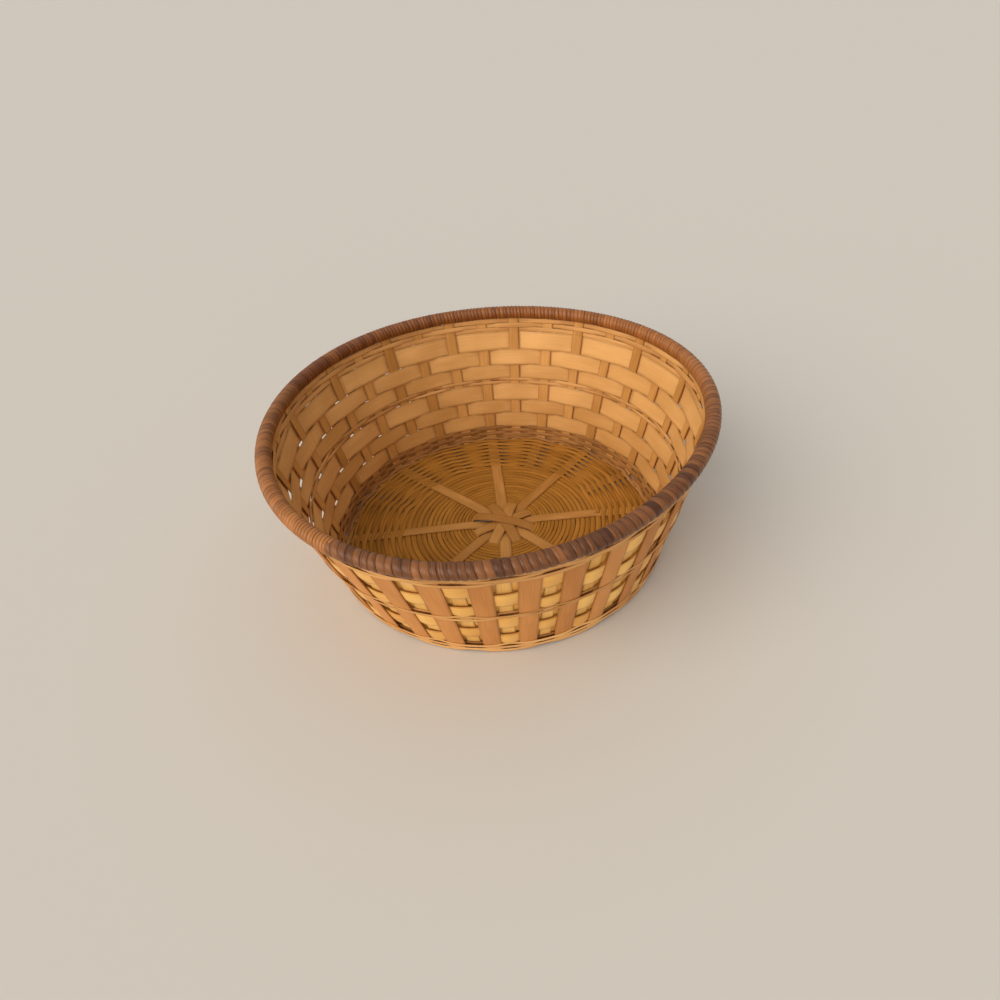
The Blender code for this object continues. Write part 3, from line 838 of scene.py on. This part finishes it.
        # A spiral pair narrows in one more round, so that its outer edge ends as a circle.
        fade = np.clip(all_rounds - rounds, 0.0, 1.0) if pair.taper_rounds else 1.0
        turn = plan.stake_turn(steps * plan.stake_count / pair.stakes)
        swing = np.cos((steps + number) * pi)
        lift = np.where(swing > 0, pair.over, -pair.under) * np.abs(swing) ** pair.lift_power
        beside = np.sin((steps + number) * pi)
        aside = pair.reach * np.sign(beside) * np.abs(beside) ** pair.spread_power
        middle = pair.start + pair.pitch * np.minimum(rounds, pair.rounds) + aside * fade
        middle = middle + 2 * pair.reach * (1 - fade) + uneven.along(turn * 1.13, pair.wander)
        width = pair.side_width + (pair.over_width - pair.side_width) * swing ** 2
        width = width * (0.1 + 0.9 * fade) * (1 + uneven.along(steps * 0.61, pair.width_ripple))
        section = oval_section(1.0, pair.height, pair.flat_share, fullness=0.8)
        radius = middle[:, None] + section[:, 0] * width[:, None]
        height = plan.base_height + lift[:, None] + section[:, 1]
        return plan.base_point(turn[:, None], radius, height), steps

    def twined_strand(self, pair: TwinedPair, number: int) -> None:
        """Lay one strand of a twined pair."""
        uneven = Unevenness(pair.seed + number, waves=9)
        points, steps = self.paired_points(pair, number, uneven)
        tone = uneven.along(steps * pair.tone_step, 0.6)
        name = f"{pair.name}_{number + 1}"
        piece = self.strand(f"{name}_bamboo", points, tone, oval_section(1.0, 1.0), pair.closed)
        self.place(self.paint(piece, pair.finish), pair.slot, name)


@dataclass
class Wall(StakeWork):
    """The flared wall: side stakes, wide wefts, wide outer strips and the thin strands."""

    weft_steps: int = 18
    weft_inside: float = -0.62 * MM
    weft_crest: float = 1.60 * MM
    weft_below_strip: float = 1.05 * MM
    weft_pillow: float = 0.45 * MM
    weft_lap: float = 0.22
    weft_tuck: float = 0.45 * MM
    weft_wander: float = 0.22 * MM
    edge_overlap: float = 0.32 * MM
    loose_gap: float = 0.42 * MM
    crest_spread: float = 0.55 * MM
    loose_turn: float = radians(195.0)
    strand_thickness: float = 0.65 * MM
    outer_dip: float = 0.7 * MM
    outer_width_share: float = 0.88
    inner_clearance: float = 0.08 * MM
    twist_rise: float = 0.35 * MM
    low_round_share: float = 1.25
    round_steps: int = 12
    strip_start: float = 0.4 * MM
    strip_step: float = 1.5 * MM
    strip_lean: float = 0.006
    strip_crown: float = 0.12 * MM
    bottom_width: float = 2.5 * MM
    middle_width: float = 2.05 * MM
    top_width: float = 2.95 * MM
    fibre_count: int = 60
    fibres_inside: float = 0.6
    fibre_lengths: tuple[float, float] = (5.0 * MM, 15.0 * MM)
    fibre_reaches: tuple[float, float] = (0.1 * MM, 1.6 * MM)
    fibre_girths: tuple[float, float] = (0.16 * MM, 0.34 * MM)
    fibre_start: float = 0.8 * MM
    fibre_rise: float = 3.0 * MM

    def build(self) -> None:
        """Make every piece of the wall."""
        for number in range(self.plan.spokes):
            self.side_stake(number)
        for row in range(len(self.plan.weft_width_shares)):
            self.weft(row)
        for place in range(self.plan.stake_count):
            self.outer_strip(place)
        for spot in self.strand_spots():
            self.thin_strand(*spot)
        self.stray_fibres()

    def side_stake(self, number: int) -> None:
        """Lay one stake that was pushed in beside the base strips and bent up."""
        plan = self.plan
        uneven = Unevenness(200 + number)
        turn = float(plan.stake_turn(2 * number + 1))
        width = plan.stake_width * (1 + uneven.share(self.stake_spread))
        tail_start = plan.base_radius - plan.side_stake_tail
        bend_start = plan.base_radius - plan.corner_tangent
        tail = [
            self.base_row(turn, radius, plan.base_height, width)
            for radius in np.linspace(tail_start, bend_start, 2, endpoint=False)
        ]
        rows = tail + self.bent_rows(turn, width) + self.wall_rows(turn, width, uneven)
        rows = smoothed(np.array(rows), 2)
        tone = uneven.share(0.6) + uneven.along(np.linspace(0, 3, len(rows)), 0.2)
        self.lay_stake(f"side_stake_{number + 1:02d}", "side_stake", rows, tone, "stake", "stake_skin")

    def weft(self, row: int) -> None:
        """Lay one wide weft in three lengths, whose ends are tucked behind the outer strips."""
        plan = self.plan
        number = len(plan.weft_width_shares) - row
        uneven = Unevenness(300 + row, waves=13)
        lane = Lane((row + 1) % 2)
        cuts = sorted(uneven.draw.sample(range(0, plan.stake_count, 4), 3))
        cuts = [cut + uneven.draw.choice((0, 1, 2)) + 0.5 for cut in cuts]
        pieces = []
        for start, end in zip(cuts, cuts[1:] + [cuts[0] + plan.stake_count]):
            points = self.weft_points(row, lane, start, end + self.weft_lap, uneven)
            places = np.linspace(start, end, len(points))
            tone = uneven.share(0.8) + uneven.along(places * 0.35, 0.8)
            length = Ribbon("weft", points, thickness=plan.weft_thickness, tone=tone, two_faced=True)
            pieces.append(self.paint(length.lay(), "weft_skin", "weft_pith"))
        self.place(join(pieces, f"weft_row_{number}_bamboo"), "weft", f"weft_row_{number}")

    def weft_points(
        self, row: int, lane: Lane, start: float, end: float, uneven: Unevenness
    ) -> np.ndarray:
        """Points of one length of a weft, flat inside every second stake and bowed out between.

        Args:
            row: the weft's row, counted up from the base.
            lane: the stakes that the weft passes on the inside.
            start: where the length starts, counted in stakes.
            end: where it ends, counted in stakes.
            uneven: the weft's own unevenness.

        Returns:
            Points for each step along the weft.
        """
        plan = self.plan
        low = plan.weft_start(row)
        width = plan.weft_width_shares[row] * plan.weft_width
        stakes = np.linspace(start, end, int((end - start) * self.weft_steps) + 1)
        turn = plan.stake_turn(stakes)
        swing = -np.cos(pi * (stakes - lane.value))
        from_crest = np.abs((stakes - lane.value) % 2 - 1)
        crest, below, inside = self.weft_crest, self.weft_below_strip, self.weft_inside
        knot_shares = (0.0, 0.10, 0.23, 0.45, 0.68, 0.84, 1.0)
        knots = (crest, crest - 0.1 * MM, below, 0.4 * MM, 0.65 * inside, inside, inside)
        out = smoothed(np.interp(from_crest, knot_shares, knots), 3)
        out = out + uneven.along(turn * 1.9, 0.05 * MM)
        out = out - self.weft_tuck * np.clip((stakes - (end - 0.5)) / 0.25, 0.0, 1.0)
        # The weave is tight and the edges overlap, but for one side where gaps let light through.
        tight = (1 - np.cos(turn - self.loose_turn)) / 2
        loose = np.clip(1 - 2.5 * tight, 0.0, 1.0)
        overlap = self.edge_overlap * np.clip(0.2 + 1.2 * tight, 0.0, 1.0)
        narrowing = (overlap + self.loose_gap * loose) * (1 - np.abs(swing) ** (0.06 + 1.2 * loose))
        centre = low + width / 2 + uneven.along(turn * 1.3, self.weft_wander)
        spread = self.crest_spread * np.clip(1 - from_crest / 0.26, 0.0, 1.0) ** 0.7
        half = width / 2 * (1 + uneven.along(turn * 2.1, 0.015)) + overlap - narrowing + spread
        rise = centre[:, None] + WEFT_ACROSS * half[:, None]
        crown = np.clip(1 - from_crest / 0.24, 0.0, 1.0) ** 0.6
        pillow = self.weft_pillow * crown[:, None] * (1 - WEFT_ACROSS ** 2)
        return plan.wall_point(turn[:, None], rise, out[:, None] + pillow)

    def outer_strip(self, place: int) -> None:
        """Lay one wide strip up the outside, midway between two narrow stakes."""
        plan = self.plan
        uneven = Unevenness(400 + place)
        turn = float(plan.stake_turn(place + 0.5)) + uneven.share(self.strip_lean)
        rise = np.arange(self.strip_start, plan.stake_end, self.strip_step)
        width = plan.strip_width(rise) * (1 + uneven.share(0.04) + uneven.along(rise * 50, 0.02))
        half = plan.half_angle(width, rise)
        crown = self.strip_crown * (1 - WEFT_ACROSS ** 2)
        lean = uneven.share(self.strip_lean) * rise / plan.wall_length
        turns = turn + lean[:, None] + WEFT_ACROSS * half[:, None]
        points = plan.wall_point(turns, rise[:, None], plan.strip_out + crown)
        tone = uneven.share(1.0) + uneven.along(np.linspace(0, 3, len(points)), 0.2)
        name = f"outer_strip_{place + 1:02d}_bamboo"
        piece = Ribbon(name, points, thickness=plan.strip_thickness, tone=tone).lay()
        self.place(self.paint(piece, "outer_strip"), "outer_strip", "outer_hoop_with_strips")

    def strand_spots(self) -> list[tuple[str, float, Lane, float]]:
        """Name, height, lane and width of each thin strand, from the bottom band to the top one."""
        plan = self.plan
        middle_start = plan.weft_start(len(plan.weft_width_shares) // 2)
        middle_start -= plan.middle_strands * plan.middle_pitch
        top_start = plan.weft_start(len(plan.weft_width_shares))
        bands = (
            ("bottom", plan.bottom_strands, plan.bottom_start, plan.bottom_pitch, self.bottom_width),
            ("middle", plan.middle_strands, middle_start, plan.middle_pitch, self.middle_width),
            ("top", plan.top_strands, top_start, plan.top_pitch, self.top_width),
        )
        return [
            (f"{band}_strand_{number + 1}", start + pitch * (number + 0.5), Lane(number % 2), width)
            for band, count, start, pitch, width in bands for number in range(count)
        ]

    def thin_strand(self, name: str, rise: float, lane: Lane, width: float) -> None:
        """Lay one thin strand: a round outside the wide strips and one woven on the narrow stakes.

        The lowest strand has one more round on both sides, which fills the corner below it.
        """
        uneven = Unevenness(500 + sum(name.encode()), waves=15)
        outer_finish, inner_finish = "thin_strand", "thin_strand"
        # Outside, the bottom band takes a paler copy of the strand finish as painted light; inside the
        # corner, a darker copy as painted shade.
        if name.startswith("bottom"):
            outer_finish, inner_finish = "bottom_strand", "shaded_corner_strand"
        spots = [(rise, lane, width)]
        if name == "bottom_strand_1":
            below = rise - self.plan.bottom_pitch
            spots.append((below, Lane(1 - lane.value), width * self.low_round_share))
        rounds = []
        for spot in spots:
            for outside, finish in ((True, outer_finish), (False, inner_finish)):
                rounds.append(self.paint(self.strand_round(name, *spot, outside, uneven), finish))
        self.place(join(rounds, f"{name}_bamboo"), "thin_strand", name)

    def strand_round(
        self, name: str, rise: float, lane: Lane, width: float, outside: bool, uneven: Unevenness
    ) -> bpy.types.Object:
        """Lay one closed round of a thin strand on the wall.

        Args:
            name: name of the piece.
            rise: height of its middle up the slope of the wall.
            lane: the stakes at which it dips in between the wide strips, or passes on the inside.
            width: its width.
            outside: whether it crosses the wide strips, and not the narrow stakes.
            uneven: its own unevenness.

        Returns:
            The closed round.
        """
        plan = self.plan
        steps = np.arange(plan.stake_count * self.round_steps) / self.round_steps
        turn = plan.stake_turn(steps)
        swing = np.cos((steps - lane.value) * pi)
        if outside:
            over_strip = plan.strip_out + plan.strip_thickness / 2 + self.strand_thickness / 2
            out = over_strip - self.outer_dip * np.clip(swing, 0.0, 1.0) ** 2
            out = out + uneven.along(turn * 1.7, 0.06 * MM)
            height = rise + uneven.along(turn, 0.32 * MM) + self.twist_rise * swing
            width = width * self.outer_width_share
        else:
            reach = plan.stake_thickness / 2 + self.strand_thickness / 2 + self.inner_clearance
            out = uneven.along(turn * 1.7, 0.05 * MM) - reach * np.sign(swing) * np.abs(swing) ** 0.45
            height = rise + uneven.along(turn, 0.28 * MM)
        section = oval_section(width, self.strand_thickness, flat_share=0.35, fullness=0.7)
        share = 1 + uneven.along(turn * 2.0, 0.12)
        heights = height[:, None] + section[:, 0] * share[:, None]
        points = plan.wall_point(turn[:, None], heights, out[:, None] + section[:, 1])
        return self.strand(name, points, uneven.along(turn, 0.8), section, closed=True)

    def stray_fibres(self) -> None:
        """Lay the stray fibres that have split off the thin strands."""
        uneven = Unevenness(900)
        spots = self.strand_spots()
        for name, rise, *_ in spots:
            count = self.fibre_count // len(spots)
            fibres = join([self.fibre(rise, uneven) for _ in range(count)], f"{name}_fibres")
            self.place(self.paint(fibres, "thin_strand"), "thin_strand", name)

    def fibre(self, rise: float, uneven: Unevenness) -> bpy.types.Object:
        """Lay one stray fibre, which starts on a strand and curls away from it.

        Args:
            rise: height of the strand up the slope of the wall.
            uneven: draws the fibre's place, length and curl.

        Returns:
            The fibre.
        """
        plan = self.plan
        inside = uneven.draw.random() < self.fibres_inside
        surface = -plan.stake_thickness / 2 - self.strand_thickness * 0.9
        if not inside:
            surface = plan.strip_out + plan.strip_thickness / 2 + self.strand_thickness * 0.8
        away = -1.0 if inside else 1.0
        steps = np.linspace(0.0, 1.0, 7)
        length = uneven.draw.uniform(*self.fibre_lengths)
        turns = uneven.draw.uniform(0.0, 2 * pi)
        turns = turns + uneven.draw.choice((-1, 1)) * steps * length / plan.rim_radius
        rises = rise + uneven.share(self.fibre_start) + uneven.share(self.fibre_rise) * steps ** 1.5
        outs = surface + away * uneven.draw.uniform(*self.fibre_reaches) * steps ** 2
        girth = uneven.draw.uniform(*self.fibre_girths) * (1 - 0.8 * steps)
        around = girth[:, None, None] * oval_section(1.0, 1.0, points=5)
        heights, outs = rises[:, None] + around[..., 0], outs[:, None] + around[..., 1]
        points = plan.wall_point(turns[:, None], heights, outs)
        return Ribbon("fibre", points, rolled=True, tone=uneven.share(1.0), edge=np.zeros(5)).lay()


@dataclass(frozen=True)
class Winding:
    """One length of binding cane, with its start and end in degrees round the rim.

    Its tones are spread evenly from the start to the end, where more is darker. They are painted light
    and shade:
    each length is darker where its cane looks shaded and lighter where it looks lit or glints.
    """

    node: str
    finish: str
    start: float
    end: float
    pitch: float
    seed: int
    tones: tuple[float, ...]


@dataclass
class Rim(SubAssembly):
    """The rim: two hoops that clamp the stakes, bound over with turns of cane."""

    half_out: float = 3.2 * MM
    top: float = 3.25 * MM
    bottom: float = -3.0 * MM
    cane_thickness: float = 0.9 * MM
    crown_share: float = 0.45
    outline_power: float = 0.9
    steps_per_turn: int = 34
    hoop_steps: int = 192
    slant: float = 0.10
    slant_spread: float = 0.06
    width_spread: float = 0.16
    tone_spread: float = 0.4
    most_lift: float = 0.10 * MM
    half_share: float = 0.495
    # The tones of each length are painted light and shade: lighter where the cane looks lit or glints,
    # darker where it looks shaded.
    windings: tuple[Winding, ...] = (
        Winding(
            "rim_binding_front", "cane_front", start=233.0, end=374.0, pitch=3.7 * MM, seed=700,
            tones=(-0.2, 0.1, 0.5, -0.3, -2.0),
        ),
        Winding(
            "rim_binding_back", "cane_back", start=14.0, end=162.0, pitch=2.4 * MM, seed=720,
            tones=(-0.7, -0.1, 0.6, 1.1),
        ),
        Winding(
            "rim_binding_left", "cane_left", start=162.0, end=233.0, pitch=2.0 * MM, seed=740,
            tones=(1.2, 0.8, 0.0, -0.5),
        ),
    )
    end_lap: float = 0.6

    def build(self) -> None:
        """Make the hoops and wind the cane over them."""
        plan = self.plan
        self.hoop("inner_hoop", -plan.stake_thickness / 2 - plan.clearance, -plan.hoop_thickness)
        self.hoop("outer_hoop_with_strips", plan.strip_out, plan.hoop_thickness)
        for winding in self.windings:
            self.wind(winding)

    def hoop(self, node: str, face: float, thickness: float) -> None:
        """Make one hoop, flat where it clamps the stakes and lower on its other face."""
        plan = self.plan
        turn = np.arange(self.hoop_steps) * (2 * pi / self.hoop_steps)
        half, edge = plan.hoop_height / 2, plan.hoop_edge_height / 2
        section = np.array([(0.0, -half), (0.0, half), (thickness, edge), (thickness, -edge)])
        points = plan.wall_point(turn[:, None], plan.wall_length + section[:, 1], face + section[:, 0])
        name = f"{node.split('_with')[0]}_wood"
        piece = Ribbon(name, points, closed=True, rolled=True, edge=np.zeros(4)).lay()
        slot = "hoop" if node == "inner_hoop" else "outer_strip"
        self.place(self.paint(piece, "hoop"), slot, node)

    def wind(self, winding: Winding) -> None:
        """Wind one length of cane over the rim, turn beside turn.

        Args:
            winding: where the cane lies, and its pitch and finish.
        """
        plan = self.plan
        uneven = Unevenness(winding.seed, waves=11)
        lap = self.end_lap * winding.pitch / plan.rim_radius
        arc = radians(winding.end - winding.start) + 2 * lap
        turns = round(arc * plan.rim_radius / winding.pitch)
        widths = np.array([1 + uneven.share(self.width_spread) for _ in range(turns)])
        widths = widths / widths.sum() * arc
        bounds = radians(winding.start) - lap + np.concatenate([[0.0], np.cumsum(widths)])
        centres = (bounds[:-1] + bounds[1:]) / 2
        lifts = np.array([uneven.draw.uniform(0.0, self.most_lift) for _ in range(turns)])
        # Painted light and shade along the length, under the random tone of each turn.
        tone_places = np.linspace(0, 1, len(winding.tones))
        painted_light_and_shade = np.interp(np.linspace(0, 1, turns), tone_places, winding.tones)
        tones = painted_light_and_shade + np.array([uneven.share(self.tone_spread) for _ in range(turns)])
        slants = np.array([self.slant + uneven.share(self.slant_spread) for _ in range(turns)])
        steps = np.arange((turns - 1) * self.steps_per_turn + 1) / self.steps_per_turn
        whole = np.minimum(steps.astype(int), turns - 2)
        share = steps - whole
        turn, width, lift, tone, slant = (
            values[whole] + (values[whole + 1] - values[whole]) * share
            for values in (centres, widths, lifts, tones, slants)
        )
        angle = pi / 2 - 2 * pi * share
        turn = turn + slant * width * np.cos(angle)
        side = np.linspace(-1.0, 1.0, 7)
        arch = self.cane_thickness * (1 - self.crown_share * np.abs(side) ** 3)
        crown = np.concatenate([arch, [0.0, 0.0]])
        side = np.concatenate([side, [0.98, -0.98]])
        out, up, out_away, up_away = self.outline(angle)
        away = crown[None, :] + lift[:, None]
        away[:, -2:] = 0.0
        points = plan.wall_point(
            turn[:, None] + side[None, :] * width[:, None] * self.half_share,
            plan.wall_length + up[:, None] + up_away[:, None] * away,
            plan.rim_middle_out + out[:, None] + out_away[:, None] * away,
        )
        # The finish darkens each turn towards its sides: partly browning, partly painted shade in the
        # grooves between turns.
        piece = Ribbon(f"{winding.node}_cane", points, rolled=True, tone=tone, edge=np.abs(side)).lay()
        self.place(self.paint(piece, winding.finish), winding.node.replace("rim_", ""), winding.node)

    def outline(self, angle: np.ndarray) -> tuple[np.ndarray, np.ndarray, np.ndarray, np.ndarray]:
        """Points of the rounded outline that the cane lies on, and the way out from each of them.

        Args:
            angle: angles round the rim's section, with 90 degrees at the top.

        Returns:
            Distances out and up, and the two parts of the unit direction away from the outline.
        """
        middle = (self.top + self.bottom) / 2
        half_up = (self.top - self.bottom) / 2
        cosine, sine = np.cos(angle), np.sin(angle)
        out = self.half_out * np.sign(cosine) * np.abs(cosine) ** self.outline_power
        up = middle + half_up * np.sign(sine) * np.abs(sine) ** self.outline_power
        length = np.hypot(cosine / self.half_out, sine / half_up)
        return out, up, cosine / self.half_out / length, sine / half_up / length


@dataclass
class Studio:
    """A plain pale floor, soft lights and the camera at the photograph's angle.

    The camera's angles and distance come from fitting it to the basket's rim and base.
    """

    frame_width: float = 1000.0
    focal_length_pixels: float = 720.0
    elevation: float = 0.68003
    roll: float = -0.09864
    aim_right: float = 0.0038932
    aim_up: float = 0.0057257
    distance: float = 3.57726 * 0.12
    aim_height: float = 0.024
    sensor_width: float = 36.0

    def build(self) -> None:
        """Place the camera, the floor, the lights and the pale surroundings."""
        self.camera()
        self.floor()
        self.lights()
        bpy.context.scene.view_settings.view_transform = "Standard"

    def camera(self) -> None:
        """Place the camera where the photograph was taken from."""
        data = bpy.data.cameras.new("camera")
        data.sensor_width = self.sensor_width
        data.lens = self.focal_length_pixels / self.frame_width * self.sensor_width
        data.clip_start = 0.01
        eye = bpy.data.objects.new("camera", data)
        turned = (
            Matrix.Rotation(pi / 2 - self.elevation, 4, "X")
            @ Matrix.Rotation(-self.aim_right, 4, "Y")
            @ Matrix.Rotation(-self.aim_up, 4, "X")
            @ Matrix.Rotation(self.roll, 4, "Z")
        )
        back = Vector((0.0, -cos(self.elevation), sin(self.elevation)))
        place = Vector((0.0, 0.0, self.aim_height)) + back * self.distance
        eye.matrix_world = Matrix.Translation(place) @ turned
        bpy.context.scene.collection.objects.link(eye)
        bpy.context.scene.camera = eye

    def floor(self) -> None:
        """Lay the pale floor below the basket."""
        bpy.ops.object.select_all(action="DESELECT")
        bpy.ops.mesh.primitive_plane_add(size=80.0, location=(0.0, 0.0, 0.0))
        floor = bpy.context.active_object
        floor.name = "floor"
        material = bpy.data.materials.new("pale floor")
        material.use_nodes = True
        shader = material.node_tree.nodes["Principled BSDF"]
        shader.inputs["Base Color"].default_value = linear("D0CCC5")
        shader.inputs["Roughness"].default_value = 0.9
        floor.data.materials.append(material)

    def lights(self) -> None:
        """Light the basket softly from the front left, with a weaker light from above."""
        self.soft_light("window_light", (-1.15, -0.85, 1.1), 2.1, 58.0, "FFF4E6")
        self.soft_light("front_light", (-0.15, -1.5, 0.25), 1.0, 70.0, "FFF4E6")
        self.soft_light("room_light", (0.2, 0.6, 1.6), 0.4, 90.0, "FFFFFF")
        world = bpy.data.worlds.new("pale room")
        world.use_nodes = True
        world.node_tree.nodes["Background"].inputs[0].default_value = linear("F0EFEC")
        world.node_tree.nodes["Background"].inputs[1].default_value = 0.44
        bpy.context.scene.world = world

    def soft_light(
        self, name: str, place: tuple[float, float, float], strength: float, spread: float, colour: str
    ) -> None:
        """Add one broad far light that shines from a place towards the basket."""
        data = bpy.data.lights.new(name, "SUN")
        data.color = linear(colour)[:3]
        data.energy = strength
        data.angle = radians(spread)
        lamp = bpy.data.objects.new(name, data)
        lamp.location = place
        lamp.rotation_euler = (-Vector(place)).to_track_quat("-Z", "Y").to_euler()
        bpy.context.scene.collection.objects.link(lamp)


FINISHES = {
    # The inner side of a stake: shaved smooth and handled, so satin, tan and a little streaky.
    "stake": SplitBamboo("shaved bamboo stake", "DDA25B", "A97230", "6E451B"),
    # The outer side of a stake: the hard skin of the cane, paler and with a soft gloss.
    "stake_skin": SplitBamboo(
        "bamboo stake skin", "F8C674", "D89C4C", "855626", roughness_low=0.36, roughness_high=0.52,
        coat=0.15,
    ),
    # The outer side of a wide weft: golden skin, the brightest and glossiest of the strips.
    "weft_skin": SplitBamboo(
        "glossy bamboo skin", "F8C369", "DF9F45", "8A5A27", roughness_low=0.34, roughness_high=0.5,
        coat=0.2,
    ),
    # The inner side of a wide weft: pale pith, quite matte.
    "weft_pith": SplitBamboo("shaved bamboo pith", "E8B26E", "C99250", "855A2E"),
    # The wide outer strips: matte and slightly orange, with shallow fibres and edges darkened less than
    # on the other strips, partly as browning and partly as painted shade.
    "outer_strip": SplitBamboo(
        "matte bamboo strip", "D89553", "B87739", "774926", edge_wear_and_shade_share=0.35, bump_height=0.03 * MM
    ),
    # The thin strands at the top and middle: split by hand, uneven in tone.
    "thin_strand": SplitBamboo("thin bamboo strand", "E3AC68", "B47B42", "784A20"),
    # The lowest strands outside: a paler copy of the thin strands, as painted light on strands that lie
    # in shade under the flaring wall.
    "bottom_strand": SplitBamboo("pale bamboo strand", "F2BD78", "CB8F50", "865628"),
    # The strands inside the corner and the foot pair: a darker, browner and duller copy of the thin
    # strands, as painted shade in the corner.
    "shaded_corner_strand": SplitBamboo("dull bamboo strand", "BC8449", "85572B", "52300F", specular=0.2),
    # The strands of the base: dry, golden brown and without gloss.
    "base_strand": SplitBamboo(
        "dry bamboo strand", "BE8234", "8D5B1D", "4A2A0A", roughness_low=0.6, roughness_high=0.85,
        specular=0.15,
    ),
    # The hoops under the binding: plain raw wood, seen only through gaps.
    "hoop": SplitBamboo("raw hoop wood", "B98A58", "8F6237", "6B4526"),
    # The front binding: cane stained dark brown, streaky and glossy.
    "cane_front": SplitBamboo(
        "dark stained cane", "A66A3A", "492818", "26150C", roughness_low=0.32, roughness_high=0.5,
        coat=0.3, specular=0.2, fibre_share=0.8,
    ),
    # The back binding: narrower cane of a redder brown, the glossiest of the three.
    "cane_back": SplitBamboo(
        "red brown cane", "B47239", "6A3A1B", "381E0D", roughness_low=0.30, roughness_high=0.5,
        coat=0.35, specular=0.2, fibre_share=0.7,
    ),
    # The left binding: the narrowest cane, worn to an orange brown.
    "cane_left": SplitBamboo(
        "orange brown cane", "C27E40", "76461F", "4B2C12", roughness_low=0.34, roughness_high=0.54,
        coat=0.3,
    ),
}


def main() -> None:
    """Load the frame, build the basket from the base to the rim and set the stage."""
    logging.basicConfig(level=logging.INFO, format="%(message)s")
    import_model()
    plan = BasketPlan()
    finishes = {name: finish.make() for name, finish in FINISHES.items()}
    for assembly in (Base(plan, finishes), Wall(plan, finishes), Rim(plan, finishes)):
        assembly.build()
        LOG.info("%s: %d pieces", type(assembly).__name__, len(assembly.pieces))
    Studio().build()


if __name__ == "__main__":
    main()
